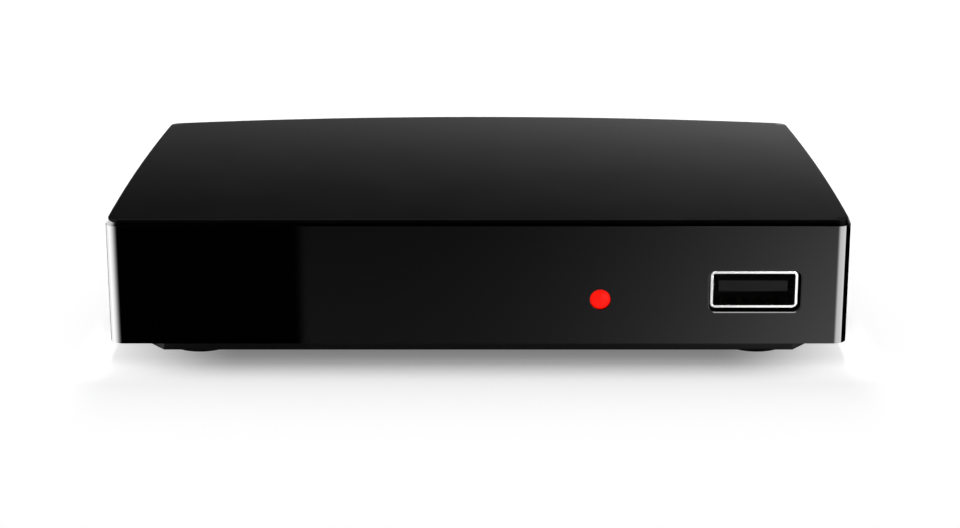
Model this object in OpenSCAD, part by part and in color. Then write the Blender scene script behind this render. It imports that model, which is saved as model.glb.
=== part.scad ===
// Terrestrial TV decoder: a small black set-top box on four rubber feet.
// The front faces -Y, +Z is up, and the origin is on the table under the middle of the box.

/* [Case] */
// Overall width at the widest point of the sides
case_w = 112.8; // [105:0.1:141]
// Overall depth from the fascia to the furthest point of the rear edge
case_d = 77.4; // [72:0.1:110]
// Overall height from the table to the top face
case_h = 22; // [19.6:0.1:34]
// How far each side draws in from its widest point to the front
side_bow = 0.7; // [0.1:0.05:1.2]
// Radius of the bowed rear edge of the cover
rear_r = 262; // [230:2:500]
// Radius of the upright front corners
front_corner_r = 2.3; // [2:0.1:4]
// Radius of the rear corners of the cover
rear_corner_r = 2.4; // [1:0.1:6]
// Thickness of the side walls
wall_t = 1.8; // [1.2:0.1:2.6]
// Clearance between casing pieces that slide together
case_fit = 0.15; // [0.1:0.05:0.2]
// Height of the sloped shoulder at the top of the walls
bevel_h = 0.5; // [0.3:0.05:0.8]
// How far the shoulder slopes inwards
bevel_w = 0.2; // [0.1:0.05:0.6]

/* [Cover] */
// Thickness of the cover plate
cover_t = 2; // [1.2:0.1:2.3]
// Thickness of the cover's rim on the walls
rim_t = 0.45; // [0.3:0.05:0.8]
// How far the rim stays inside the outline of the walls
rim_inset = 0.2; // [0.1:0.05:0.6]
// How far the rim's edge slopes inwards on the way up
rim_slope = 0.2; // [0.05:0.05:0.5]
// Wall of the cover's screw bosses
boss_wall = 1.75; // [1:0.05:2.2]
// Depth of a pilot hole beyond the screw's tip
pilot_spare = 2; // [0.5:0.1:4]
// How far the cover's rear edge reaches behind the side walls
visor_d = 10.4; // [8:0.1:14]
// Thickness of the cover's overhang behind the side walls
visor_t = 1.4; // [0.9:0.1:2]

/* [Fascia] */
// Thickness of the fascia
fascia_t = 2; // [1.4:0.1:2.4]
// How far the fascia turns back along the sides
return_d = 6; // [5:0.5:9]
// Gap of the upright seam between fascia and side walls
seam = 0.1; // [0.05:0.05:0.2]
// Width of the tabs that hook into the base
tab_w = 8; // [5:0.5:12]
// How far the tabs reach into the base
tab_d = 1.2; // [0.6:0.1:1.4]
// Distance between neighbouring tabs
tab_pitch = 30; // [20:1:36]

/* [Base] */
// Visible height of the feet under the plinth
foot_h = 1.2; // [0.8:0.1:1.5]
// Radius of the feet
foot_r = 5; // [3.5:0.1:5.4]
// Depth of the round seats that the feet are stuck in
foot_seat = 0.4; // [0.2:0.1:0.6]
// Radial clearance of a foot in its seat
foot_fit = 0.1; // [0.05:0.05:0.2]
// Distance of the feet's middles from the plinth's sides
foot_side = 9.6; // [7:0.1:13]
// Distance of the feet's middles from the plinth's front and rear
foot_end = 7.2; // [6:0.1:9]
// Height of the plinth under the fascia's lower edge
plinth_h = 1.6; // [1.4:0.05:2.4]
// How far the plinth is set in from the case's sides
plinth_side = 4; // [2.5:0.1:6]
// How far the plinth is set back from the fascia
plinth_setback = 2; // [1.5:0.1:2.4]
// Distance of the plinth's rear in front of the side walls' ends
plinth_rear = 5.5; // [4.6:0.1:8]
// Width that the slanted corners take from the plinth's front and rear
plinth_corner_w = 4.6; // [1:0.1:8]
// Depth that the slanted corners take from the plinth's sides
plinth_corner_d = 6; // [1:0.1:10]
// Thickness of the base's floor
floor_t = 1.6; // [1.3:0.1:1.8]
// Number of vent slots in each of the two rows
vent_count = 9; // [1:1:12]
// Width of a vent slot
vent_w = 2; // [1:0.1:4]
// Length of a vent slot
vent_l = 14; // [4:0.5:20]
// Distance between neighbouring vent slots
vent_pitch = 6; // [4.5:0.5:9]
// Distance between the two rows of vents
vent_rows = 22; // [16:0.5:32]

/* [Rear panel] */
// How far the panel is set in from the side walls' rear ends
panel_setback = 2.5; // [1:0.1:2.8]
// Thickness of the panel
panel_t = 1.6; // [1.2:0.1:1.8]
// Depth of the grooves that hold the panel
groove_d = 0.8; // [0.5:0.1:1]
// Gap round a connector in its panel hole
hole_gap = 0.3; // [0.2:0.05:0.4]

/* [Board] */
// Room for the sockets between the board and the cover
head_room = 11.95; // [11.65:0.05:14]
// Gap between the board and the base's floor beside its posts
board_clear = 0.4; // [0.2:0.1:1]
// Wall of the posts round the screw heads
post_wall = 0.5; // [0.4:0.05:1]
// Gap between the board and the side walls
board_side = 1.9; // [0.5:0.1:3]
// Thickness of the board
board_t = 1.6; // [0.8:0.1:1.8]
// Distance of the board's front edge behind the fascia
board_front = 3.2; // [2.4:0.1:4]
// Gap between the board's rear edge and the rear panel
board_gap = 0.5; // [0.3:0.1:0.8]

/* [Screws] */
// Distance of the screws from the board's sides
screw_side = 3.5; // [3:0.1:4.5]
// Distance of the front screws from the board's front edge
screw_front = 18.8; // [16:0.1:30]
// Distance of the rear screws from the board's rear edge
screw_rear = 15.4; // [14:0.1:28]
// Radius of the screws' shanks
screw_r = 1.25; // [1:0.05:1.4]
// Clearance round the shanks in the base and the board
screw_gap = 0.25; // [0.15:0.05:0.35]
// Clearance of the thread in its pilot
thread_fit = 0.02; // [0.01:0.01:0.05]
// Radius of the screw heads
head_r = 2.3; // [2:0.1:2.4]
// Height of the screw heads
head_h = 1.4; // [1:0.1:1.6]
// How deep the heads are sunk in the plinth
head_sink = 0.4; // [0.2:0.1:1]
// Reach of the screws into the cover's bosses
screw_reach = 6; // [3:0.5:9]
// Length of the cross in a screw head
cross_l = 2.6; // [2:0.1:3]
// Width of the cross in a screw head
cross_w = 0.6; // [0.4:0.1:0.8]
// Depth of the cross in a screw head
cross_d = 0.8; // [0.5:0.1:0.9]

/* [USB socket] */
// Distance of the socket's middle from the case's right side
usb_side = 14.9; // [11.6:0.1:18]
// Width of the shell
usb_w = 13.14; // [12:0.02:15]
// Height of the shell
usb_h = 5.72; // [5.2:0.02:7]
// Length of the shell
usb_l = 14; // [12.5:0.5:16]
// Wall of the shell
usb_wall = 0.4; // [0.3:0.05:0.45]
// Outer corner radius of the shell
usb_corner = 0.7; // [0.55:0.05:1]
// How far the shell sits behind the fascia's face
usb_recess = 1; // [0.2:0.1:1.8]
// Gap between the shell and the fascia's opening
usb_gap = 0.3; // [0.2:0.05:0.4]
// Height of the shell above the board
usb_seat = 0.1; // [0.05:0.05:0.2]
// Width of the tongue
tongue_w = 10.4; // [9.6:0.1:11.4]
// Thickness of the tongue
tongue_t = 1.7; // [1.4:0.02:2.2]
// Gap between the tongue and the shell's roof
tongue_gap = 1.35; // [0.4:0.05:1.6]
// How far the tongue sits behind the shell's mouth
tongue_recess = 1.1; // [0.5:0.1:2.4]
// Depth of the block at the back of the shell
block_d = 4; // [2.5:0.5:5]
// Clearance of the block in the shell
block_fit = 0.05; // [0.02:0.01:0.1]
// Width of a contact spring
contact_w = 0.9; // [0.5:0.05:1.3]
// Thickness of a contact spring
contact_t = 0.2; // [0.15:0.05:0.3]
// Length of a contact spring
contact_l = 7.2; // [5:0.1:8]
// Downward slope of a contact spring at rest
contact_slope = 5.5; // [2:0.5:8]
// Depth of the grooves for the contact springs
contact_groove = 0.95; // [0.7:0.05:1.3]
// Side clearance of a contact spring in its groove
contact_fit = 0.15; // [0.1:0.05:0.2]
// Distance of the inner contact springs from the middle
contact_inner = 1; // [0.8:0.05:1.5]
// Distance of the outer contact springs from the middle
contact_outer = 3.5; // [3:0.05:4.2]

/* [Status lamp] */
// Sideways place of the lamp
led_x = 18.33; // [8:0.1:30]
// Radius of the lamp
led_r = 1.5; // [1:0.05:2.5]
// Length of the lamp behind its crowned front
led_l = 5; // [2.5:0.5:8]
// Rise of the lamp's crowned front
led_crown = 0.25; // [0.1:0.05:0.6]
// Gap under the lamp on the board
led_seat = 0.15; // [0.05:0.05:0.3]
// Gap between the lamp and its hole
led_fit = 0.06; // [0.04:0.01:0.15]
// How far the tip of the lamp is behind the fascia's face
led_recess = 0.1; // [0.05:0.05:0.4]
// Distance between the two leads
lead_pitch = 2; // [1.2:0.1:2.4]
// Thickness of leads
lead_t = 0.5; // [0.4:0.05:0.6]
// Reach of the leads behind the lamp
lead_run = 1.8; // [1.2:0.1:3]

/* [Remote receiver] */
// Sideways place of the receiver, left of the middle
ir_x = 26; // [20:0.5:32]
// Width of the receiver
ir_w = 5; // [4:0.1:6]
// Depth of the receiver without its lens
ir_d = 2.8; // [2.4:0.1:3.4]
// Height of the receiver
ir_h = 6.6; // [6:0.1:7.4]
// Radius of the receiver's lens
ir_lens_r = 1.8; // [1.4:0.1:1.9]
// Height of the receiver above the board
ir_lift = 1.6; // [1:0.1:2]
// Distance of the receiver behind the fascia
ir_back = 5; // [4.6:0.1:6]
// Distance between the receiver's leads
ir_pitch = 1.5; // [1.2:0.1:1.6]

/* [Processor] */
// Side of the processor
cpu_w = 14; // [12:0.5:16]
// Height of the processor
cpu_h = 1.2; // [0.9:0.1:1.6]
// Thickness of the thermal pad
pad_t = 0.5; // [0.3:0.1:1]
// Side of the heatsink
sink_w = 19; // [16:0.5:20]
// Height of the heatsink
sink_h = 6; // [4:0.5:7]
// Thickness of the heatsink's base
sink_base = 1.5; // [1:0.1:2]
// Number of heatsink fins
fin_count = 6; // [4:1:7]
// Thickness of a heatsink fin
fin_t = 1; // [0.8:0.1:1.2]
// Distance of the processor's middle from the board's front edge
cpu_back = 23.8; // [20:0.1:28]

/* [Chips] */
// Width of the memory chip
mem_w = 9; // [8:0.5:10]
// Length of the memory chip
mem_l = 13; // [11:0.5:14]
// Height of the memory chip
mem_h = 1; // [0.8:0.1:1.4]
// Distance of the memory chip right of the processor's middle
mem_off = 20; // [16:0.5:22]
// Distance of the audio-video driver right of the processor's middle
driver_off = 31; // [29:0.5:34]
// Distance of the flash chip left of the processor's middle
flash_off = 17; // [15:0.5:20]
// How far the flash chip sits in front of the processor's middle
flash_shift = 5; // [3:0.5:7]
// Gap between the flash chip and the crystal behind it
crystal_gap = 4; // [2:0.1:6]
// Width of the flash chip's body
flash_w = 5.2; // [4.8:0.1:5.6]
// Length of the flash chip's body
flash_l = 4.9; // [4.5:0.1:5.3]
// Height of the flash chip
flash_h = 1.7; // [1.4:0.1:2]
// Reach of a chip's pins beside its body
pin_reach = 1; // [0.7:0.1:1.2]
// Thickness of a chip's pins
pin_t = 0.4; // [0.3:0.05:0.5]
// Distance between a chip's pins
pin_pitch = 1.27; // [1.1:0.01:1.3]
// Length of the crystal's can
crystal_l = 10; // [8:0.5:11]
// Width of the crystal's can
crystal_w = 4; // [3.5:0.1:4.6]
// Height of the crystal's can
crystal_h = 3.4; // [2.5:0.1:4]
// Radius of the bulk capacitors
cap_r = 3.15; // [2.5:0.05:3.4]
// Height of the bulk capacitors
cap_h = 7.7; // [6:0.1:9]
// Distance between the bulk capacitors
cap_pitch = 8.5; // [7.5:0.1:9]
// Gap between the bulk capacitors and the power jack
cap_gap = 3; // [1:0.1:5]
// Side of the power inductors
coil_w = 6; // [5:0.1:6.4]
// Height of the power inductors
coil_h = 3; // [2:0.1:4]
// Distance between the power inductors
coil_pitch = 9; // [8:0.1:10]
// Distance of the inductors' row from the board's left side
coil_side = 23.5; // [18:0.5:28]
// Distance of the inductors' middles from the board's front edge
coil_back = 9.5; // [9:0.1:12]
// Width of a regulator
reg_w = 3; // [2.5:0.1:4]
// Length of a regulator
reg_l = 1.8; // [1.5:0.1:2.5]
// Height of a regulator
reg_h = 1.1; // [0.9:0.1:1.6]
// Gap between the inductors and the regulators behind them
reg_gap = 1.5; // [0.8:0.1:3]
// Length of a chip capacitor
mlcc_l = 1.6; // [1:0.1:2]
// Width of a chip capacitor
mlcc_w = 0.8; // [0.5:0.1:1]
// Gap between the heatsink and the chip capacitors
mlcc_gap = 0.8; // [0.4:0.1:2]
// Number of chip capacitors in a row
mlcc_count = 7; // [3:1:8]
// Distance between chip capacitors
mlcc_pitch = 2.4; // [2.2:0.1:2.5]

/* [Tuner] */
// Width of the tuner's can
can_w = 29; // [26:0.5:30]
// Depth of the tuner's can
can_d = 17; // [10:0.5:20]
// Height of the tuner's can
can_h = 9; // [7:0.1:11]
// Thickness of the can's sheet
can_t = 0.5; // [0.4:0.05:0.6]
// Clearance of the lid round the can
can_fit = 0.1; // [0.05:0.05:0.15]
// Height of the lid's skirt
skirt_h = 2.5; // [1.5:0.1:3]
// Distance of the can in front of the rear panel
can_back = 3; // [2:0.1:4]
// Side of the tuner chip
tuner_w = 6; // [4:0.5:8]
// Height of the tuner chip
tuner_h = 0.9; // [0.7:0.1:1.2]

/* [Antenna sockets] */
// Distance of the input socket from the case's left side
in_side = 20.4; // [17.6:0.1:22.6]
// Distance between the input socket and the loop-through plug
rf_pitch = 14; // [12.5:0.1:16]
// Height of the socket axes above the board
rf_axis = 5.7; // [5.4:0.1:6.2]
// Outer radius of the input barrel
in_r = 5.2; // [5:0.05:5.6]
// Inner radius of the input barrel
in_bore = 4.8; // [4.3:0.05:5]
// Outer radius of the loop-through barrel
out_r = 4.75; // [4.5:0.05:5.2]
// How far the collar at the loop-through barrel's foot stands out
collar_t = 0.45; // [0.2:0.05:0.7]
// Reach of the collar behind the rear panel
collar_reach = 0.8; // [0.3:0.1:2]
// Inner radius of the loop-through barrel
out_bore = 4.2; // [3.6:0.05:4.5]
// Reach of the barrels behind the rear panel
rf_reach = 9; // [5:0.5:12]
// Thickness of the insulator discs
disc_t = 3.5; // [2:0.1:5]
// Radius of the insulator's core in the input
core_r = 2.6; // [2:0.1:3.4]
// Length of the insulator's core in the input
core_l = 5; // [2:0.5:7]
// Outer radius of the input's centre contact
centre_r = 1.7; // [1.5:0.05:2.3]
// Radius of the centre pin
pin_r = 1.2; // [0.9:0.05:1.5]
// Clearance between the concentric pieces of a socket
rf_fit = 0.05; // [0.03:0.01:0.08]
// How far the centre conductors end inside the barrels' mouths
centre_recess = 1; // [0.5:0.1:2]
// Width of the slits in the input's centre contact
slit_w = 0.4; // [0.3:0.05:0.6]
// Length of the slits in the input's centre contact
slit_l = 5; // [4:0.5:6]

/* [HDMI socket] */
// Sideways place of the socket
hdmi_x = 2; // [-6:0.5:9]
// Width of the shell
hdmi_w = 15; // [13.5:0.1:16]
// Height of the shell
hdmi_h = 5.6; // [4.8:0.1:7]
// Wall of the shell
hdmi_wall = 0.4; // [0.3:0.05:0.5]
// Width of the slanted lower corners of the shell
hdmi_slant = 1.7; // [1:0.1:2.6]
// Height of the slanted lower corners of the shell
hdmi_waist = 1.9; // [1:0.1:3]
// Length of the shell
hdmi_l = 11.5; // [9:0.5:14]
// Reach of the shell behind the rear panel
hdmi_reach = 0.5; // [0.3:0.1:1]
// Width of the tongue
hdmi_tongue_w = 11.9; // [9.6:0.1:12.2]
// Thickness of the tongue
hdmi_tongue_t = 1.3; // [0.8:0.1:1.8]
// Height of the tongue's underside above the shell's inner floor
hdmi_tongue_z = 1.9; // [1.2:0.1:2.8]
// How far the tongue ends inside the mouth
hdmi_recess = 0.8; // [0.5:0.1:1.5]
// Depth of the block at the back of the shell
hdmi_block = 3; // [2.5:0.5:4]
// Clearance of the block in the shell
hdmi_fit = 0.05; // [0.03:0.01:0.1]
// Number of contacts on the tongue's upper face
hdmi_count = 10; // [6:1:10]
// Distance between neighbouring contacts
hdmi_pitch = 1; // [0.9:0.05:1.05]
// Width of a contact
hdmi_contact_w = 0.45; // [0.3:0.05:0.5]
// Thickness of a contact
hdmi_contact_t = 0.12; // [0.08:0.02:0.16]

/* [Audio-video jack] */
// Sideways place of the jack
av_x = 21; // [14:0.5:28]
// Width of the jack's body
av_w = 7; // [6:0.1:9]
// Height of the jack's body
av_h = 6.4; // [5.8:0.1:8]
// Depth of the jack's body
av_d = 12; // [11.5:0.5:14]
// Height of the jack's axis above the board
av_axis = 3.2; // [2.6:0.1:3.8]
// Radius of the jack's bore
av_bore = 1.8; // [1.5:0.05:2.3]
// How much wider the bore is inside the body than in the bushing
av_relief = 0.3; // [0.2:0.05:0.5]
// Depth of the bore inside the body
av_bore_d = 11; // [8:0.5:11.5]
// Outer radius of the bushing
bushing_r = 3; // [2.4:0.1:3.6]
// Reach of the bushing behind the rear panel
bushing_reach = 1.2; // [0.8:0.1:2]
// Gap between the jack's body and the rear panel
av_back = 0.4; // [0.2:0.1:0.8]

/* [Power jack] */
// Distance of the jack's middle from the case's right side
dc_side = 19.4; // [16.6:0.1:22.6]
// Width of the jack's body
dc_w = 9; // [8:0.1:11]
// Height of the jack's body
dc_h = 10.8; // [9.8:0.1:11.4]
// Depth of the jack's body
dc_d = 14; // [12:0.5:18]
// Height of the jack's axis above the board
dc_axis = 6.3; // [5:0.1:7.4]
// Radius of the jack's bore
dc_bore = 2.9; // [2.5:0.05:3.4]
// Depth of the jack's bore
dc_bore_d = 9.5; // [8:0.5:11.5]
// Radius of the centre pin
dc_pin_r = 1.05; // [0.8:0.05:1.4]
// How far the centre pin ends inside the mouth
dc_recess = 0.8; // [0.5:0.1:2]
// Depth of the pin's root in the body
dc_root = 2; // [1:0.1:3]
// Reach of the jack's body behind the rear panel
dc_reach = 0.4; // [0.2:0.1:1]

/* [Jack springs] */
// Width of the leaf springs
leaf_w = 2; // [1.2:0.1:3]
// Thickness of the leaf springs
leaf_t = 0.3; // [0.15:0.05:0.4]
// Length of the leaf springs
leaf_l = 7; // [5:0.1:7.6]
// Slope of the leaf springs into the bores at rest
leaf_slope = 4; // [2:0.5:6]
// Side clearance of the leaf springs in their slots
leaf_fit = 0.2; // [0.15:0.05:0.3]
// How far the leaf springs reach into the bores at rest
leaf_dip = 0.3; // [0.1:0.05:0.6]
// End clearance of the leaf springs in their slots
leaf_gap = 0.05; // [0.03:0.01:0.1]

/* [Hidden] */
$fn = 64;

// Overlap that lets joined shapes of one piece merge, and cutters pass through
eps = 0.1;
// A length longer than the whole box, for cutters
reach = case_w + case_d + case_h;
// Steps along a rounded corner, a side and the rear edge
corner_steps = 8;
side_steps = 6;
rear_steps = 24;
// Smallest corner radius left where an inset takes up the whole corner
least_r = 0.05;

front_y = -case_d / 2;
plinth_z = foot_h;
ledge_z = plinth_z + plinth_h;
ledge_top = ledge_z + floor_t;
floor_top = plinth_z + floor_t;
under_cover = case_h - cover_t;
board_top = under_cover - head_room;
board_z = board_top - board_t;
wall_top = case_h - rim_t;
bevel_z = wall_top - bevel_h;
plug_inset = max(wall_t, fascia_t) + case_fit;
inner_y = front_y + fascia_t + case_fit;
return_y = front_y + return_d;
wall_y = return_y + seam;
tray_y = case_d / 2 - visor_d;
panel_y = tray_y - panel_setback;
panel_in = panel_y - panel_t;
plinth_x = case_w / 2 - plinth_side;
plinth_y0 = front_y + plinth_setback;
plinth_y1 = tray_y - plinth_rear;
foot_x = plinth_x - foot_side;
foot_ys = [plinth_y0 + foot_end, plinth_y1 - foot_end];

// Centres and radii of the long arcs of the outline
side_r = (pow(case_d / 2, 2) + pow(side_bow, 2)) / (2 * side_bow);
side_c = case_w / 2 - side_r;
rear_c = [0, case_d / 2 + rim_inset - rear_r];

// Board, screws and posts
board_x = half_w(front_y, max(wall_t, fascia_t)) - board_side;
board_y0 = front_y + board_front;
board_y1 = panel_in - board_gap;
screw_x = board_x - screw_side;
screw_ys = [board_y0 + screw_front, board_y1 - screw_rear];
pocket_d = head_h + head_sink;
post_r = head_r + screw_gap + post_wall;
boss_r = screw_r + boss_wall;
pilot_d = screw_reach + pilot_spare;
groove_w = 2 * (half_w(panel_y, wall_t) + groove_d);

// USB socket
usb_x = case_w / 2 - usb_side;
usb_y = front_y + usb_recess;
usb_z = board_top + usb_seat + usb_h / 2;
usb_in_w = usb_w - 2 * usb_wall;
usb_in_h = usb_h - 2 * usb_wall;
usb_in_corner = usb_corner - usb_wall;
usb_rear = usb_y + usb_l;
block_y = usb_rear - block_d;
tongue_y = usb_y + tongue_recess;
tongue_top = usb_z + usb_in_h / 2 - tongue_gap;
tongue_low = tongue_top - tongue_t;
contact_xs = [-contact_outer, -contact_inner, contact_inner, contact_outer];
contact_root = [usb_x, block_y - contact_t / 2, tongue_low + contact_groove / 2];

// Status lamp and remote receiver
led_z = board_top + led_seat + led_r;
led_tip = front_y + led_recess;
led_rear = led_tip + led_crown + led_l;
crown_r = (pow(led_r, 2) + pow(led_crown, 2)) / (2 * led_crown);
ir_y = front_y + ir_back;
ir_z = board_top + ir_lift;

// Rear sockets: sideways place and height of each axis
in_c = [in_side - case_w / 2, board_top + rf_axis];
out_c = [in_c[0] + rf_pitch, board_top + rf_axis];
av_c = [av_x, board_top + av_axis];
dc_c = [case_w / 2 - dc_side, board_top + dc_axis];
rf_end = panel_y + rf_reach;
centre_end = rf_end - centre_recess;
can_x = (in_c[0] + out_c[0]) / 2;
can_y1 = panel_in - can_back;
can_y0 = can_y1 - can_d;
hdmi_end = panel_y + hdmi_reach;
hdmi_y = hdmi_end - hdmi_l;
hdmi_tongue_low = board_top + hdmi_wall + hdmi_tongue_z;
av_rear = panel_in - av_back;
dc_rear = panel_y + dc_reach;
dc_root_y = dc_rear - dc_bore_d;
slot_w = leaf_w + 2 * leaf_fit;
leaf_drop = leaf_l * sin(leaf_slope);
av_root = [av_x, av_rear - leaf_l - leaf_t, av_c[1] + av_bore - leaf_dip + leaf_t / 2 + leaf_drop];
dc_leaf = [dc_c[0], dc_root_y + leaf_t, dc_c[1] - dc_bore + leaf_dip - leaf_t / 2 - leaf_drop];

// Chips and power parts
cpu_y = board_y0 + cpu_back;
flash_y = cpu_y - flash_shift;
crystal_y = flash_y + flash_l / 2 + crystal_gap + crystal_w / 2;
cap_y = dc_rear - dc_d - cap_gap - cap_r;
coil_x = coil_side - board_x;
coil_y = board_y0 + coil_back;
reg_y = coil_y + coil_w / 2 + reg_gap + reg_l / 2;
mlcc_off = sink_w / 2 + mlcc_gap + mlcc_l / 2;
flash_pins = 4;
driver_pins = 7;

function ang(v) = let (a = atan2(v[1], v[0])) a < 0 ? a + 360 : a;
function arc(c, r, a0, a1, first, last, n) =
    [for (i = [first:last]) c + r * [cos(a0 + (a1 - a0) * i / n), sin(a0 + (a1 - a0) * i / n)]];
// Crossing point of two circles, on the side that s gives
function meet(p, rp, q, rq, s) =
    let (d = norm(q - p), a = (rp * rp - rq * rq + d * d) / (2 * d), u = (q - p) / d)
    p + a * u + s * sqrt(max(0, rp * rp - a * a)) * [-u[1], u[0]];
// Half of the width between the side walls' outer faces at a depth
function half_w(y, inset) = side_c + sqrt(pow(side_r - inset, 2) - y * y);
// Centre of a front corner, on the right
function front_corner(inset, r) =
    let (y = front_y + inset + r) [side_c + sqrt(pow(side_r - inset - r, 2) - y * y), y];
// How much of an inset a slanted corner loses on one side, given that side's length over the other's
function shrink(ratio) = 1 + ratio - sqrt(1 + ratio * ratio);
// Plan of the box, drawn in by an inset
function outline(inset) =
    let (rf = max(front_corner_r - inset, least_r),
        rr = max(rear_corner_r - inset, least_r),
        right = [side_c, 0],
        left = [-side_c, 0],
        fr = front_corner(inset, rf),
        fl = [-fr[0], fr[1]],
        br = meet(right, side_r - inset - rr, rear_c, rear_r - inset - rr, 1),
        bl = meet(left, side_r - inset - rr, rear_c, rear_r - inset - rr, -1),
        a_fr = ang(fr - right) - 360,
        a_br = ang(br - right),
        b_br = ang(br - rear_c),
        b_bl = ang(bl - rear_c),
        a_bl = ang(bl - left),
        a_fl = ang(fl - left))
    concat(
        arc(fr, rf, -90, a_fr, 0, corner_steps, corner_steps),
        arc(right, side_r - inset, a_fr, a_br, 1, side_steps - 1, side_steps),
        arc(br, rr, a_br, b_br, 0, corner_steps, corner_steps),
        arc(rear_c, rear_r - inset, b_br, b_bl, 1, rear_steps - 1, rear_steps),
        arc(bl, rr, b_bl, a_bl, 0, corner_steps, corner_steps),
        arc(left, side_r - inset, a_bl, a_fl, 1, side_steps - 1, side_steps),
        arc(fl, rf, a_fl, 270, 0, corner_steps, corner_steps));

module slab(inset, z0, z1) {
    translate([0, 0, z0])
        linear_extrude(z1 - z0)
            polygon(outline(inset));
}

// A slab whose outline draws in on the way up
module taper(inset0, inset1, z0, z1) {
    low = outline(inset0);
    high = outline(inset1);
    n = len(low);
    polyhedron(
        points = concat([for (p = low) [p[0], p[1], z0]], [for (p = high) [p[0], p[1], z1]]),
        faces = concat([[for (i = [0:n - 1]) i]], [[for (i = [0:n - 1]) 2 * n - 1 - i]],
            [for (i = [0:n - 1]) [i, n + i, n + (i + 1) % n, (i + 1) % n]]));
}

module between_y(y0, y1) {
    intersection() {
        children();
        translate([-reach, y0, -reach])
            cube([2 * reach, y1 - y0, 2 * reach]);
    }
}

// Extrudes a drawing of the front view from one depth to another
module along_y(y0, y1) {
    translate([0, y1, 0])
        rotate([90, 0, 0])
            linear_extrude(y1 - y0)
                children();
}

module round_rect(w, h, r) {
    square([w - 2 * r, h], center = true);
    square([w, h - 2 * r], center = true);
    for (x = [-1, 1], y = [-1, 1])
        translate([x * (w / 2 - r), y * (h / 2 - r)])
            circle(r);
}

// A block on the board, given its middle in plan and its size
module chip(x, y, w, l, h) {
    translate([x - w / 2, y - l / 2, board_top])
        cube([w, l, h]);
}

// A chip with two rows of pins
module pinned_chip(x, y, w, l, h, pins) {
    translate([x - w / 2, y - l / 2, board_top + pin_t / 2])
        cube([w, l, h - pin_t / 2]);
    for (side = [-1, 1], i = [0:pins - 1])
        translate([x + side * (w + pin_reach) / 2, y + (i - (pins - 1) / 2) * pin_pitch, board_top + pin_t / 2])
            cube([pin_reach + pin_t, pin_t, pin_t], center = true);
}

module at_screws() {
    for (x = [-screw_x, screw_x], y = screw_ys)
        translate([x, y, 0])
            children();
}

module at_feet() {
    for (x = [-foot_x, foot_x], y = foot_ys)
        translate([x, y, 0])
            children();
}

// Walls of the case as one solid block with its sloped shoulder
module body_block() {
    slab(0, ledge_z, bevel_z);
    taper(0, bevel_w, bevel_z, wall_top);
}

module plinth_plan(inset) {
    x = plinth_x - inset;
    y0 = plinth_y0 + inset;
    y1 = plinth_y1 - inset;
    w = plinth_corner_w - inset * shrink(plinth_corner_w / plinth_corner_d);
    d = plinth_corner_d - inset * shrink(plinth_corner_d / plinth_corner_w);
    polygon([[-x, y0 + d], [-x + w, y0], [x - w, y0], [x, y0 + d],
        [x, y1 - d], [x - w, y1], [-x + w, y1], [-x, y1 - d]]);
}

module at_tabs() {
    for (i = [-1, 0, 1])
        translate([i * tab_pitch, front_y + fascia_t, ledge_z])
            children();
}

module top_cover() {
    color("#1c1c1e")
    difference() {
        union() {
            taper(rim_inset, rim_inset + rim_slope, wall_top, case_h);
            between_y(inner_y, tray_y + case_fit + eps)
                slab(plug_inset, under_cover, wall_top + rim_t / 2);
            between_y(tray_y + case_fit, case_d)
                slab(rim_inset, case_h - visor_t, wall_top);
            at_screws()
                translate([0, 0, board_top])
                    cylinder(h = under_cover - board_top + eps, r = boss_r);
        }
        at_screws()
            translate([0, 0, board_top - eps])
                cylinder(h = pilot_d + eps, r = screw_r + thread_fit);
    }
}

module front_fascia() {
    color("#0b0b0c")
    difference() {
        union() {
            difference() {
                between_y(front_y - eps, return_y)
                    body_block();
                slab(fascia_t, ledge_z - eps, case_h);
            }
            at_tabs()
                translate([-tab_w / 2, -eps, 0])
                    cube([tab_w, tab_d + eps, floor_t]);
        }
        translate([usb_x, 0, usb_z])
            along_y(front_y - eps, front_y + fascia_t + eps)
                round_rect(usb_w + 2 * usb_gap, usb_h + 2 * usb_gap, usb_corner + usb_gap);
        translate([led_x, 0, led_z])
            along_y(front_y - eps, front_y + fascia_t + eps)
                circle(led_r + led_fit);
    }
}

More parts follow.
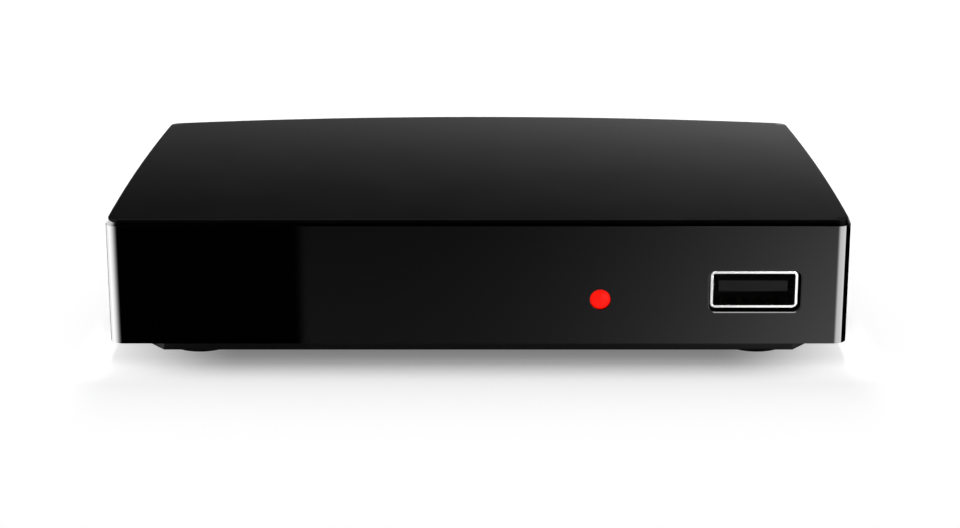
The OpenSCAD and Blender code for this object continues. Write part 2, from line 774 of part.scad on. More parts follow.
module base_tray() {
    color("#151517")
    difference() {
        union() {
            between_y(wall_y, tray_y)
                difference() {
                    body_block();
                    slab(wall_t, ledge_top, case_h);
                }
            between_y(inner_y, wall_y + eps)
                slab(fascia_t + case_fit, ledge_z, ledge_top);
            translate([0, 0, plinth_z])
                linear_extrude(plinth_h + floor_t / 2)
                    plinth_plan(0);
            at_screws()
                translate([0, 0, floor_top - eps])
                    cylinder(h = board_z - floor_top + eps, r = post_r);
        }
        difference() {
            translate([0, 0, floor_top])
                linear_extrude(ledge_top - floor_top + eps)
                    plinth_plan(floor_t);
            at_screws()
                translate([0, 0, floor_top - eps])
                    cylinder(h = board_z, r = post_r);
        }
        at_screws()
            translate([0, 0, plinth_z - eps])
                cylinder(h = board_top, r = screw_r + screw_gap);
        difference() {
            translate([-board_x - board_clear, board_y0 - board_clear, board_z - board_clear])
                cube([2 * (board_x + board_clear), board_y1 - board_y0 + 2 * board_clear, case_h]);
            at_screws()
                cylinder(h = board_z, r = post_r);
        }
        at_screws()
            translate([0, 0, plinth_z - eps])
                cylinder(h = pocket_d + eps, r = head_r + screw_gap);
        at_feet()
            translate([0, 0, plinth_z - eps])
                cylinder(h = foot_seat + eps, r = foot_r + foot_fit);
        at_tabs()
            translate([-tab_w / 2 - case_fit, -case_fit, -eps])
                cube([tab_w + 2 * case_fit, tab_d + 2 * case_fit, floor_t + 2 * eps]);
        translate([-groove_w / 2, panel_in - case_fit, ledge_top])
            cube([groove_w, panel_t + 2 * case_fit, case_h]);
        for (i = [0:vent_count - 1], row = [-1, 1])
            translate([(i - (vent_count - 1) / 2) * vent_pitch,
                (plinth_y0 + plinth_y1) / 2 + row * vent_rows / 2, plinth_z - eps])
                linear_extrude(floor_t + 2 * eps)
                    round_rect(vent_w, vent_l, vent_w / 2 - least_r);
    }
}

module hdmi_plan(grow) {
    w = hdmi_w / 2 + grow;
    s = hdmi_slant;
    polygon([[-w, hdmi_waist], [-w + s, -grow], [w - s, -grow], [w, hdmi_waist],
        [w, hdmi_h + grow], [-w, hdmi_h + grow]]);
}

module rear_panel() {
    color("#1a1a1c")
    difference() {
        translate([-groove_w / 2 + case_fit, panel_in, ledge_top])
            cube([groove_w - 2 * case_fit, panel_t, under_cover - case_fit - ledge_top]);
        along_y(panel_in - eps, panel_y + eps) {
            translate(in_c)
                circle(in_r + hole_gap);
            translate(out_c)
                circle(out_r + collar_t + hole_gap);
            translate(av_c)
                circle(bushing_r + hole_gap);
            translate([hdmi_x, board_top])
                hdmi_plan(hole_gap);
            translate([dc_c[0] - dc_w / 2 - hole_gap, board_top - hole_gap])
                square([dc_w + 2 * hole_gap, dc_h + 2 * hole_gap]);
        }
    }
}

module foot() {
    edge = foot_h / 3;
    color("#232324")
    rotate_extrude()
        polygon([[0, 0], [foot_r - edge, 0], [foot_r, edge], [foot_r, foot_h + foot_seat],
            [0, foot_h + foot_seat]]);
}

module foot_front_left() {
    translate([-foot_x, foot_ys[0], 0])
        foot();
}

module foot_front_right() {
    translate([foot_x, foot_ys[0], 0])
        foot();
}

module foot_rear_left() {
    translate([-foot_x, foot_ys[1], 0])
        foot();
}

module foot_rear_right() {
    translate([foot_x, foot_ys[1], 0])
        foot();
}

module case_screws() {
    head_z = plinth_z + pocket_d - head_h;
    color("#8f9296")
    at_screws()
        difference() {
            union() {
                translate([0, 0, head_z])
                    cylinder(h = head_h, r = head_r);
                translate([0, 0, head_z])
                    cylinder(h = board_top + screw_reach - head_z, r = screw_r);
            }
            translate([-cross_l / 2, -cross_w / 2, head_z - eps])
                cube([cross_l, cross_w, cross_d + eps]);
            translate([-cross_w / 2, -cross_l / 2, head_z - eps])
                cube([cross_w, cross_l, cross_d + eps]);
        }
}

module usb_shell() {
    color("#c9ccd0")
    translate([usb_x, 0, usb_z])
        along_y(usb_y, usb_rear)
            difference() {
                round_rect(usb_w, usb_h, usb_corner);
                round_rect(usb_in_w, usb_in_h, usb_in_corner);
            }
}

module usb_insulator() {
    groove_l = block_y - tongue_y;
    color("#202022")
    difference() {
        union() {
            translate([usb_x, 0, usb_z])
                along_y(block_y, usb_rear)
                    round_rect(usb_in_w - 2 * block_fit, usb_in_h - 2 * block_fit, usb_in_corner);
            translate([usb_x - tongue_w / 2, tongue_y, tongue_low])
                cube([tongue_w, block_y - tongue_y + eps, tongue_t]);
        }
        for (x = contact_xs)
            translate([usb_x + x - contact_w / 2 - contact_fit, block_y - contact_l - contact_t, tongue_low - eps])
                cube([contact_w + 2 * contact_fit, contact_l + contact_t, contact_groove + eps]);
    }
}

module usb_contacts() {
    color("#d9b45a")
    for (x = contact_xs)
        translate(contact_root + [x, 0, 0])
            rotate([contact_slope, 0, 0])
                translate([-contact_w / 2, -contact_l + contact_t, -contact_t / 2])
                    cube([contact_w, contact_l - contact_t, contact_t]);
}

module status_led() {
    color("#d01010")
    translate([led_x, 0, led_z]) {
        intersection() {
            along_y(led_tip - eps, led_tip + led_crown + eps)
                circle(led_r);
            translate([0, led_tip + crown_r, 0])
                sphere(crown_r);
        }
        along_y(led_tip + led_crown, led_rear)
            circle(led_r);
    }
}

module led_leads() {
    color("#c0c2c4")
    for (side = [-1, 1])
        translate([led_x + side * lead_pitch / 2 - lead_t / 2, led_rear, 0]) {
            translate([0, 0, led_z - lead_t / 2])
                cube([lead_t, lead_run, lead_t]);
            translate([0, lead_run - lead_t, board_top])
                cube([lead_t, lead_t, led_z - board_top + lead_t / 2]);
        }
}

module ir_receiver() {
    color("#141418")
    {
        translate([-ir_x - ir_w / 2, ir_y, ir_z])
            cube([ir_w, ir_d, ir_h]);
        intersection() {
            translate([-ir_x, ir_y, ir_z + ir_h / 2])
                sphere(ir_lens_r);
            translate([-ir_x - ir_w / 2, ir_y - ir_lens_r, ir_z])
                cube([ir_w, ir_lens_r + ir_d / 2, ir_h]);
        }
    }
}

module ir_leads() {
    color("#c0c2c4")
    for (i = [-1, 0, 1])
        translate([-ir_x + i * ir_pitch - lead_t / 2, ir_y + (ir_d - lead_t) / 2, board_top])
            cube([lead_t, lead_t, ir_lift]);
}

module main_board() {
    color("#1f5a34")
    difference() {
        translate([-board_x, board_y0, board_z])
            cube([2 * board_x, board_y1 - board_y0, board_t]);
        at_screws()
            translate([0, 0, board_z - eps])
                cylinder(h = board_t + 2 * eps, r = screw_r + screw_gap);
    }
}

module processor() {
    color("#1d1d20")
    chip(0, cpu_y, cpu_w, cpu_w, cpu_h);
}

module thermal_pad() {
    color("#8d949c")
    translate([0, 0, cpu_h])
        chip(0, cpu_y, cpu_w, cpu_w, pad_t);
}

module heatsink() {
    fin_pitch = (sink_w - fin_t) / (fin_count - 1);
    color("#3a3c40")
    translate([-sink_w / 2, cpu_y - sink_w / 2, board_top + cpu_h + pad_t]) {
        cube([sink_w, sink_w, sink_base]);
        for (i = [0:fin_count - 1])
            translate([i * fin_pitch, 0, sink_base / 2])
                cube([fin_t, sink_w, sink_h - sink_base / 2]);
    }
}

module memory_chip() {
    color("#1b1b1e")
    chip(mem_off, cpu_y, mem_w, mem_l, mem_h);
}

module flash_chip() {
    color("#1b1b1e")
    pinned_chip(-flash_off, flash_y, flash_w, flash_l, flash_h, flash_pins);
}

module crystal() {
    r = crystal_w / 2;
    color("#c4c7ca")
    translate([-flash_off, crystal_y, board_top])
        linear_extrude(crystal_h) {
            square([crystal_l - 2 * r, crystal_w], center = true);
            for (side = [-1, 1])
                translate([side * (crystal_l / 2 - r), 0])
                    circle(r);
        }
}

module av_driver() {
    color("#1b1b1e")
    pinned_chip(driver_off, cpu_y, flash_w, driver_pins * pin_pitch, flash_h, driver_pins);
}

module bulk_capacitors() {
    color("#2b2f3a")
    for (i = [0:2])
        translate([dc_c[0] - i * cap_pitch, cap_y, board_top])
            cylinder(h = cap_h, r = cap_r);
}

module power_inductors() {
    color("#3b3b3d")
    for (i = [-1, 0, 1])
        chip(coil_x + i * coil_pitch, coil_y, coil_w, coil_w, coil_h);
}

module regulators() {
    color("#1b1b1e")
    for (i = [-1, 0, 1])
        chip(coil_x + i * coil_pitch, reg_y, reg_w, reg_l, reg_h);
}

module chip_capacitors() {
    color("#b08d62")
    for (i = [0:mlcc_count - 1], row = [-1, 1])
        chip((i - (mlcc_count - 1) / 2) * mlcc_pitch, cpu_y + row * mlcc_off, mlcc_w, mlcc_l, mlcc_w);
}

module tuner_can() {
    color("#b9bcc0")
    difference() {
        chip(can_x, can_y1 - can_d / 2, can_w, can_d, can_h);
        translate([can_x - can_w / 2 + can_t, can_y0 + can_t, board_top - eps])
            cube([can_w - 2 * can_t, can_d - 2 * can_t, can_h + 2 * eps]);
    }
}

module tuner_lid() {
    out = can_t + can_fit;
    color("#c6c9cc")
    translate([can_x - can_w / 2, can_y0, board_top + can_h])
        difference() {
            translate([-out, -out, -skirt_h])
                cube([can_w + 2 * out, can_d + out - can_t, skirt_h + can_t]);
            translate([-can_fit, -can_fit, -skirt_h - eps])
                cube([can_w + 2 * can_fit, can_d + can_fit + out, skirt_h + eps]);
        }
}

module tuner_chip() {
    color("#1b1b1e")
    chip(can_x, can_y0 + can_d / 2, tuner_w, tuner_w, tuner_h);
}

module antenna_in_barrel() {
    color("#cfd2d5")
    translate([in_c[0], 0, in_c[1]])
        along_y(can_y1, rf_end)
            difference() {
                circle(in_r);
                circle(in_bore);
            }
}

module antenna_in_insulator() {
    color("#e6e2d6")
    translate([in_c[0], 0, in_c[1]])
        difference() {
            union() {
                along_y(can_y1, can_y1 + disc_t)
                    circle(in_bore - rf_fit);
                along_y(can_y1, can_y1 + disc_t + core_l)
                    circle(core_r);
            }
            along_y(can_y1 - eps, rf_end)
                circle(centre_r + rf_fit);
        }
}

module antenna_in_contact() {
    color("#d9b45a")
    translate([in_c[0], 0, in_c[1]])
        difference() {
            along_y(can_y1, centre_end)
                circle(centre_r);
            along_y(can_y1 + disc_t, rf_end)
                circle(pin_r);
            for (turn = [0, 90])
                rotate([0, turn, 0])
                    along_y(centre_end - slit_l, rf_end)
                        square([slit_w, 4 * centre_r], center = true);
        }
}

module antenna_out_barrel() {
    color("#cfd2d5")
    translate([out_c[0], 0, out_c[1]])
        difference() {
            union() {
                along_y(can_y1, panel_y + collar_reach)
                    circle(out_r + collar_t);
                along_y(can_y1, rf_end)
                    circle(out_r);
            }
            along_y(can_y1 - eps, rf_end + eps)
                circle(out_bore);
        }
}

module antenna_out_insulator() {
    color("#e6e2d6")
    translate([out_c[0], 0, out_c[1]])
        along_y(can_y1, can_y1 + disc_t)
            difference() {
                circle(out_bore - rf_fit);
                circle(pin_r + rf_fit);
            }
}

module antenna_out_pin() {
    color("#d5d8da")
    translate([out_c[0], 0, out_c[1]])
        along_y(can_y1, centre_end)
            circle(pin_r);
}

module hdmi_shell() {
    color("#c9ccd0")
    translate([hdmi_x, 0, board_top])
        along_y(hdmi_y, hdmi_end)
            difference() {
                hdmi_plan(0);
                hdmi_plan(-hdmi_wall);
            }
}

module hdmi_insulator() {
    color("#202022")
    {
        translate([hdmi_x, 0, board_top])
            along_y(hdmi_y, hdmi_y + hdmi_block)
                hdmi_plan(-hdmi_wall - hdmi_fit);
        translate([hdmi_x - hdmi_tongue_w / 2, hdmi_y + hdmi_block - eps, hdmi_tongue_low])
            cube([hdmi_tongue_w, hdmi_l - hdmi_block - hdmi_recess + eps, hdmi_tongue_t]);
    }
}

module hdmi_contacts() {
    color("#d9b45a")
    for (i = [0:hdmi_count - 1])
        translate([hdmi_x + (i - (hdmi_count - 1) / 2) * hdmi_pitch - hdmi_contact_w / 2,
            hdmi_y + hdmi_block, hdmi_tongue_low + hdmi_tongue_t])
            cube([hdmi_contact_w, hdmi_l - hdmi_block - 2 * hdmi_recess, hdmi_contact_t]);
}

module av_jack_body() {
    color("#19191b")
    difference() {
        chip(av_x, av_rear - av_d / 2, av_w, av_d, av_h);
        translate([av_x, 0, av_c[1]])
            along_y(av_rear - av_bore_d, av_rear + eps)
                circle(av_bore + av_relief);
        translate([av_x - slot_w / 2, av_root[1] - leaf_gap, av_c[1]])
            cube([slot_w, leaf_l + leaf_gap, av_h]);
    }
}

module av_jack_bushing() {
    color("#c9ccd0")
    translate([av_x, 0, av_c[1]])
        along_y(av_rear, panel_y + bushing_reach)
            difference() {
                circle(bushing_r);
                circle(av_bore);
            }
}

module av_jack_spring() {
    color("#d9b45a")
    translate(av_root)
        rotate([-leaf_slope, 0, 0])
            translate([-leaf_w / 2, 0, -leaf_t / 2])
                cube([leaf_w, leaf_l - leaf_t, leaf_t]);
}

module dc_jack_body() {
    color("#19191b")
    difference() {
        chip(dc_c[0], dc_rear - dc_d / 2, dc_w, dc_d, dc_h);
        translate([dc_c[0], 0, dc_c[1]])
            along_y(dc_root_y, dc_rear + eps)
                circle(dc_bore);
        translate([dc_c[0], 0, dc_c[1]])
            along_y(dc_root_y - dc_root, dc_rear)
                circle(dc_pin_r + rf_fit);
        translate([dc_c[0] - slot_w / 2, dc_leaf[1] - leaf_gap, board_top + leaf_t])
            cube([slot_w, leaf_l + leaf_gap, dc_axis - leaf_t]);
    }
}

module dc_jack_pin() {
    color("#d5d8da")
    translate([dc_c[0], 0, dc_c[1]])
        along_y(dc_root_y - dc_root, dc_rear - dc_recess)
            circle(dc_pin_r);
}

module dc_jack_spring() {
    color("#d9b45a")
    translate(dc_leaf)
        rotate([leaf_slope, 0, 0])
            translate([-leaf_w / 2, 0, -leaf_t / 2])
                cube([leaf_w, leaf_l - leaf_t, leaf_t]);
}

top_cover();
front_fascia();
base_tray();
rear_panel();
foot_front_left();
foot_front_right();
foot_rear_left();
foot_rear_right();
case_screws();
usb_shell();
usb_insulator();
usb_contacts();
status_led();
led_leads();
ir_receiver();
ir_leads();
main_board();
processor();
thermal_pad();
heatsink();
memory_chip();
flash_chip();
crystal();
bulk_capacitors();
power_inductors();
regulators();
chip_capacitors();
av_driver();
tuner_can();
tuner_lid();
tuner_chip();
antenna_in_barrel();
antenna_in_insulator();
antenna_in_contact();
antenna_out_barrel();
antenna_out_insulator();
antenna_out_pin();
hdmi_shell();
hdmi_insulator();
hdmi_contacts();
av_jack_body();
av_jack_bushing();
av_jack_spring();
dc_jack_body();
dc_jack_pin();
dc_jack_spring();
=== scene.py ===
"""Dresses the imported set-top receiver for its studio picture.

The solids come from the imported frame. The pieces that show most are laid in their place as numpy surfaces
with eased edges, and every node gets a finish. Sizes are in millimetres, in the frame of the solids: the
front faces -Y and the table is at z = 0.
"""

import functools
import logging
from dataclasses import dataclass
from enum import Enum

import bmesh
import bpy
import numpy as np
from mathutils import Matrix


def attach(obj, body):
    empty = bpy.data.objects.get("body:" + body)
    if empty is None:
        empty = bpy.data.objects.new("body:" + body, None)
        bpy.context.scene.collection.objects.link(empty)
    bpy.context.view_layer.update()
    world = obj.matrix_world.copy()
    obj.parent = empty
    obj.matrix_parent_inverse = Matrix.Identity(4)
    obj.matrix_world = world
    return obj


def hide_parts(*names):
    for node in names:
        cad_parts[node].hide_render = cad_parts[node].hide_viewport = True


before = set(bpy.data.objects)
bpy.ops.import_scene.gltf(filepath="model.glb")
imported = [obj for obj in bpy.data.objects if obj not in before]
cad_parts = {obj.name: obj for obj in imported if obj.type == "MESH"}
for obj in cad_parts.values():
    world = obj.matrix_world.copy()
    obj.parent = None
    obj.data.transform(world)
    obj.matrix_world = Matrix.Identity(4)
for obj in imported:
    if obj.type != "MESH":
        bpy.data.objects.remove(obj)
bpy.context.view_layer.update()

LOG = logging.getLogger("receiver")
MM = 0.001  # metres in a millimetre
WELD = 1e-7  # metres between points that become one
CREASE = 40.0  # degrees past which an edge stays sharp
CASE_BODY = "case"
USB_CENTRE = (41.5, 11.01)
LAMP_CENTRE = (18.33, 9.7)
CARD_LIFT = 0.3  # height of the studio's lowest cards above the table

Pair = tuple[float, float]
Triple = tuple[float, float, float]
Marks = tuple[float, float, float, float]
Grid = tuple[float, float, int]  # first and last place, and number of places
Colour = Triple
Socket = bpy.types.NodeSocket
Source = Socket | float


# Surfaces


class Axis(Enum):
    """Way that a turned piece points."""

    UP = "z"
    BACK = "y"


class Side(Enum):
    """Side of the box, by the sign of its x."""

    LEFT = -1
    RIGHT = 1


@dataclass(frozen=True)
class Surface:
    """A skin of quads: its points in millimetres and the four point numbers of each quad."""

    points: np.ndarray
    faces: np.ndarray

    def __add__(self, other: "Surface") -> "Surface":
        """Both skins as one."""
        return Surface(np.vstack([self.points, other.points]),
                       np.vstack([self.faces, other.faces + len(self.points)]))


def skin(rows: np.ndarray, ring: bool = False, loop: bool = False, kept: np.ndarray | None = None) -> Surface:
    """Joins a grid of points into quads, where cell (i, j) spans rows i, i + 1 and columns j, j + 1.

    Args:
        rows: points as an array of rows, columns and coordinates.
        ring: whether each row closes on itself.
        loop: whether the last row joins the first.
        kept: which cells stay, or None for all of them.

    Returns:
        The skin of the grid.
    """
    index = np.arange(rows.shape[0] * rows.shape[1]).reshape(rows.shape[:2])
    if loop:
        index = np.vstack([index, index[:1]])
    if ring:
        index = np.hstack([index, index[:, :1]])
    cells = np.stack([index[:-1, :-1], index[1:, :-1], index[1:, 1:], index[:-1, 1:]], axis=-1)
    if kept is not None:
        cells = cells[kept]
    return Surface(rows.reshape(-1, 3), cells.reshape(-1, 4))


def eased(corners: np.ndarray, ease: np.ndarray | float, steps: int = 5) -> np.ndarray:
    """Rounds the corners of a closed polygon.

    Corner p becomes (1 - t)^2 a + 2 t (1 - t) p + t^2 b, where a and b lie the ease away on its sides.

    Args:
        corners: corner points, one row each.
        ease: distance that each curve takes from its sides, one for all or one per corner.
        steps: points on each curve.

    Returns:
        The points of the rounded polygon, curve by curve.
    """
    before = np.roll(corners, 1, axis=0) - corners
    after = np.roll(corners, -1, axis=0) - corners
    take = np.broadcast_to(np.asarray(ease, float), len(corners))[:, None]
    start = corners + take * before / np.linalg.norm(before, axis=1, keepdims=True)
    end = corners + take * after / np.linalg.norm(after, axis=1, keepdims=True)
    t = np.linspace(0, 1, steps)[None, :, None]
    curve = (1 - t) ** 2 * start[:, None] + 2 * t * (1 - t) * corners[:, None] + t ** 2 * end[:, None]
    return curve.reshape(-1, 2)


def turned(profile: np.ndarray, centre: Pair, axis: Axis, loop: bool = False, sides: int = 64) -> Surface:
    """Turns a profile round an axis: (r, h) goes to (r cos a, r sin a) round the centre, h along the axis.

    Args:
        profile: radius and place along the axis of each point.
        centre: the axis' place, as x and y when it points up and as x and z when it points back.
        axis: way that the axis points.
        loop: whether the profile closes on itself, as for a tube.
        sides: points in each ring.

    Returns:
        The turned skin.
    """
    angle = np.linspace(0, 2 * np.pi, sides, endpoint=False)
    across = centre[0] + profile[:, :1] * np.cos(angle)
    over = centre[1] + profile[:, :1] * np.sin(angle)
    along = np.broadcast_to(profile[:, 1:], across.shape)
    order = [across, over, along] if axis is Axis.UP else [across, along, over]
    return skin(np.stack(order, axis=-1), ring=True, loop=loop)


def rounded_rings(half_w: float, half_h: float, corner: float, grow: np.ndarray,
                  steps: int = 8) -> np.ndarray:
    """Outlines of a rounded rectangle that grows: corner centre + (corner + grow) (cos a, sin a).

    Args:
        half_w: half of the width.
        half_h: half of the height.
        corner: corner radius.
        grow: how far each outline lies outside the first, one number per row.
        steps: points in each quadrant.

    Returns:
        An array of rows, points and two coordinates.
    """
    turn = np.linspace(0, np.pi / 2, steps) + np.pi / 2 * np.arange(4)[:, None]
    side = np.array([[1, 1], [-1, 1], [-1, -1], [1, -1]])
    centre = (side * [half_w - corner, half_h - corner])[:, None]
    around = np.stack([np.cos(turn), np.sin(turn)], axis=-1)
    rings = centre + (corner + np.asarray(grow, float))[:, None, None, None] * around
    return rings.reshape(len(grow), -1, 2)


def quarter_round(radius: float, steps: int) -> tuple[np.ndarray, np.ndarray]:
    """A quarter round, as the two arrays radius (1 - sin a) and radius (1 - cos a), a from 0 to pi / 2."""
    turn = np.linspace(0, np.pi / 2, steps)
    return radius * (1 - np.sin(turn)), radius * (1 - np.cos(turn))


def pressed_lip(wall: float, ease: float, steps: int = 5) -> tuple[np.ndarray, np.ndarray]:
    """Section of a sheared sheet's edge: flat, with its two corners eased by quarter rounds.

    Args:
        wall: wall thickness.
        ease: radius of the quarter rounds.
        steps: points on each of them.

    Returns:
        How far each point lies outside the middle of the wall, and how far behind the lip's tip.
    """
    back, drawn = quarter_round(ease, steps)
    out = wall / 2 - drawn
    return np.concatenate([out, -out[::-1]]), np.concatenate([back, back[::-1]])


def half_round(wall: float, steps: int = 9) -> tuple[np.ndarray, np.ndarray]:
    """Section of a rolled lip: out = w/2 cos a and back = w/2 (1 - sin a), a from 0 to pi.

    Args:
        wall: wall thickness.
        steps: points on the lip.

    Returns:
        How far each point lies outside the middle of the wall, and how far behind the lip's tip.
    """
    turn = np.linspace(0, np.pi, steps)
    return wall / 2 * np.cos(turn), wall / 2 * (1 - np.sin(turn))


def tube_profile(outer: float, bore: float, start: float, end: float) -> np.ndarray:
    """Closed section of a tube along its axis, with a rolled lip at the end and a square start.

    Args:
        outer: outer radius.
        bore: inner radius.
        start: place of the square start.
        end: place of the lip's tip.

    Returns:
        The points, as radius and place along the axis.
    """
    out, back = half_round(outer - bore)
    lip = np.stack([(outer + bore) / 2 + out, end - back], axis=1)
    return np.vstack([[[outer, start]], lip, [[bore, start]]])


def rod_profile(radius: float, start: float, end: float, ease: float, steps: int = 6) -> np.ndarray:
    """Section of a solid rod, from the axis round its eased end to its square start.

    Args:
        radius: the rod's radius.
        start: place of the square start.
        end: place of the tip.
        ease: radius of the quarter round at the tip.
        steps: points on the quarter round.

    Returns:
        The points, as radius and place along the axis.
    """
    drawn, back = quarter_round(ease, steps)
    tip = np.stack([radius - drawn, end - back], axis=1)
    return np.vstack([[[0, end]], tip, [[radius, start], [0, start]]])


def upright(rings: np.ndarray, depth: np.ndarray, centre: Pair) -> np.ndarray:
    """Sets front-view outlines at their depths: (u, v) goes to (x, y, z) = (cx + u, depth, cz + v)."""
    behind = np.broadcast_to(np.asarray(depth, float)[:, None], rings.shape[:2])
    return np.stack([centre[0] + rings[..., 0], behind, centre[1] + rings[..., 1]], axis=-1)


def laid(name: str, surface: Surface, material: bpy.types.Material) -> bpy.types.Object:
    """Lays a skin into the scene as an object at the origin.

    Args:
        name: the object's name.
        surface: its skin.
        material: its material.

    Returns:
        The new object.
    """
    mesh = bpy.data.meshes.new(name)
    mesh.from_pydata((surface.points * MM).tolist(), [], surface.faces.tolist())
    mesh.materials.append(material)
    thing = bpy.data.objects.new(name, mesh)
    bpy.context.scene.collection.objects.link(thing)
    return thing


def make_piece(name: str, surface: Surface, finish: "Finish", node: str) -> None:
    """Makes a closed mesh that stands for a CAD node and rides on the case.

    Args:
        name: the piece's name.
        surface: its skin, whose shared points are merged here.
        finish: its finish.
        node: CAD node that it stands for.
    """
    piece = laid(name, surface, finish.material())
    mesh = piece.data
    shape = bmesh.new()
    shape.from_mesh(mesh)
    bmesh.ops.remove_doubles(shape, verts=shape.verts, dist=WELD)
    bmesh.ops.recalc_face_normals(shape, faces=shape.faces)
    shape.to_mesh(mesh)
    shape.free()
    mesh.shade_smooth()
    mesh.set_sharp_from_angle(angle=np.radians(CREASE))
    weights = piece.modifiers.new("even_shading", "WEIGHTED_NORMAL")
    weights.keep_sharp = True
    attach(piece, CASE_BODY)
    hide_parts(node)
    LOG.info("piece %s: %d faces on %s", name, len(mesh.polygons), CASE_BODY)


def dress(finish: "Finish", *nodes: str) -> None:
    """Gives CAD nodes a finish through their material slots.

    Args:
        finish: the finish.
        nodes: names of the nodes.
    """
    for name in nodes:
        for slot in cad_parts[name].material_slots:
            slot.material = finish.material()
        LOG.info("node %s: %s", name, finish.name)


# Finishes


class Graph:
    """A node tree, with the calls that fill it."""

    def __init__(self, owner: bpy.types.ID) -> None:
        """Starts with an empty tree.

        Args:
            owner: material or world that owns the tree.
        """
        owner.use_nodes = True
        self.nodes = owner.node_tree.nodes
        self.links = owner.node_tree.links
        self.nodes.clear()

    def add(self, kind: str, sockets: dict[str | int, object] | None = None,
            **settings: object) -> bpy.types.Node:
        """Adds a node.

        Args:
            kind: the node's type.
            sockets: value or source of each named or numbered input.
            settings: the node's own properties.

        Returns:
            The new node.
        """
        node = self.nodes.new(kind)
        for key, value in settings.items():
            setattr(node, key, value)
        for key, value in (sockets or {}).items():
            self.feed(node.inputs[key], value)
        return node

    def feed(self, socket: Socket, value: object) -> None:
        """Links a source to an input, or sets its constant.

        Args:
            socket: the input.
            value: an output of another node, or a constant.
        """
        if isinstance(value, Socket):
            self.links.new(value, socket)
        else:
            socket.default_value = value

    def joined(self, operation: str, first: Source, second: Source = 0.0) -> Socket:
        """A math node on two sources or numbers."""
        return self.add("ShaderNodeMath", {0: first, 1: second}, operation=operation).outputs[0]

    def product(self, *factors: Source) -> Socket:
        """The product of sources or numbers."""
        return functools.reduce(functools.partial(self.joined, "MULTIPLY"), factors)

    def stepped(self, value: Source, start: float, end: float, low: float, high: float) -> Socket:
        """A smooth step from low to high between two values of a source."""
        sockets = {"Value": value, "From Min": start, "From Max": end, "To Min": low, "To Max": high}
        return self.add("ShaderNodeMapRange", sockets, interpolation_type="SMOOTHSTEP").outputs["Result"]

    def hump(self, value: Source, marks: Marks, unit: float = 1.0) -> Socket:
        """A smooth step up between the first two marks of a source, times one down between the last two."""
        start, full, least, end = (mark * unit for mark in marks)
        return self.product(self.stepped(value, start, full, 0.0, 1.0),
                            self.stepped(value, least, end, 1.0, 0.0))


class Bench(Graph):
    """The node tree of one material of the receiver."""

    def __init__(self, name: str) -> None:
        """Starts a material with a Principled shader and Object coordinates.

        Args:
            name: the material's name.
        """
        self.material = bpy.data.materials.new(name)
        super().__init__(self.material)
        self.shader = self.add("ShaderNodeBsdfPrincipled")
        self.add("ShaderNodeOutputMaterial", {"Surface": self.shader.outputs["BSDF"]})
        self.place = self.add("ShaderNodeTexCoord").outputs["Object"]

    def noise(self, size: float, detail: float = 2.0, stretch: Triple = (1, 1, 1)) -> Socket:
        """Cloudy noise in Object space.

        Args:
            size: about the size of its blotches, in millimetres.
            detail: how many finer octaves it has.
            stretch: how far the blotches are drawn out along x, y and z.

        Returns:
            The noise, from 0 to 1.
        """
        scale = tuple(1 / part for part in stretch)
        spot = self.add("ShaderNodeMapping", {"Vector": self.place, "Scale": scale}).outputs["Vector"]
        sockets = {"Vector": spot, "Scale": 1 / (size * MM), "Detail": detail}
        return self.add("ShaderNodeTexNoise", sockets).outputs["Fac"]

    def spread(self, value: Source, low: float, high: float, start: float = 0.3, end: float = 0.7) -> Socket:
        """Maps a value from start-to-end onto low-to-high, held at both ends."""
        sockets = {"Value": value, "From Min": start, "From Max": end, "To Min": low, "To Max": high}
        return self.add("ShaderNodeMapRange", sockets).outputs["Result"]

    def blend(self, share: Source, first: Colour, second: Colour) -> Socket:
        """Mixes two colours by a share."""
        sockets = {"Factor": share, "A": (*first, 1), "B": (*second, 1)}
        return self.add("ShaderNodeMix", sockets, data_type="RGBA").outputs["Result"]

    def bump(self, height: Source, depth: float, edge: float = 0.0) -> Socket:
        """Normals of a relief, which also run round the edges as if they were rounded.

        Args:
            height: the relief's height, from 0 to 1.
            depth: its depth in millimetres.
            edge: radius of the edges in millimetres, or 0 to leave them sharp.

        Returns:
            The normals.
        """
        sockets = {"Height": height, "Distance": depth * MM, "Strength": 1.0}
        if edge:
            rounded = self.add("ShaderNodeBevel", {"Radius": edge * MM}, samples=6)
            sockets["Normal"] = rounded.outputs["Normal"]
        return self.add("ShaderNodeBump", sockets).outputs["Normal"]

    def finish(self, **sockets: object) -> bpy.types.Material:
        """Feeds the shader.

        Args:
            sockets: value or source of each input, named with _ for a space.

        Returns:
            The finished material.
        """
        for key, value in sockets.items():
            self.feed(self.shader.inputs[key.replace("_", " ")], value)
        return self.material


def shaded(colour: Colour, level: float) -> Colour:
    """A colour made darker or paler by a factor."""
    return tuple(min(1.0, part * level) for part in colour)


@dataclass(frozen=True)
class Finish:
    """A named finish. Each kind says how its material is mixed."""

    name: str

    @functools.cache
    def material(self) -> bpy.types.Material:
        """The finish's material, mixed once."""
        return self.mix(Bench(self.name))

    def mix(self, bench: Bench) -> bpy.types.Material:
        """Mixes the material on a bench."""
        raise NotImplementedError


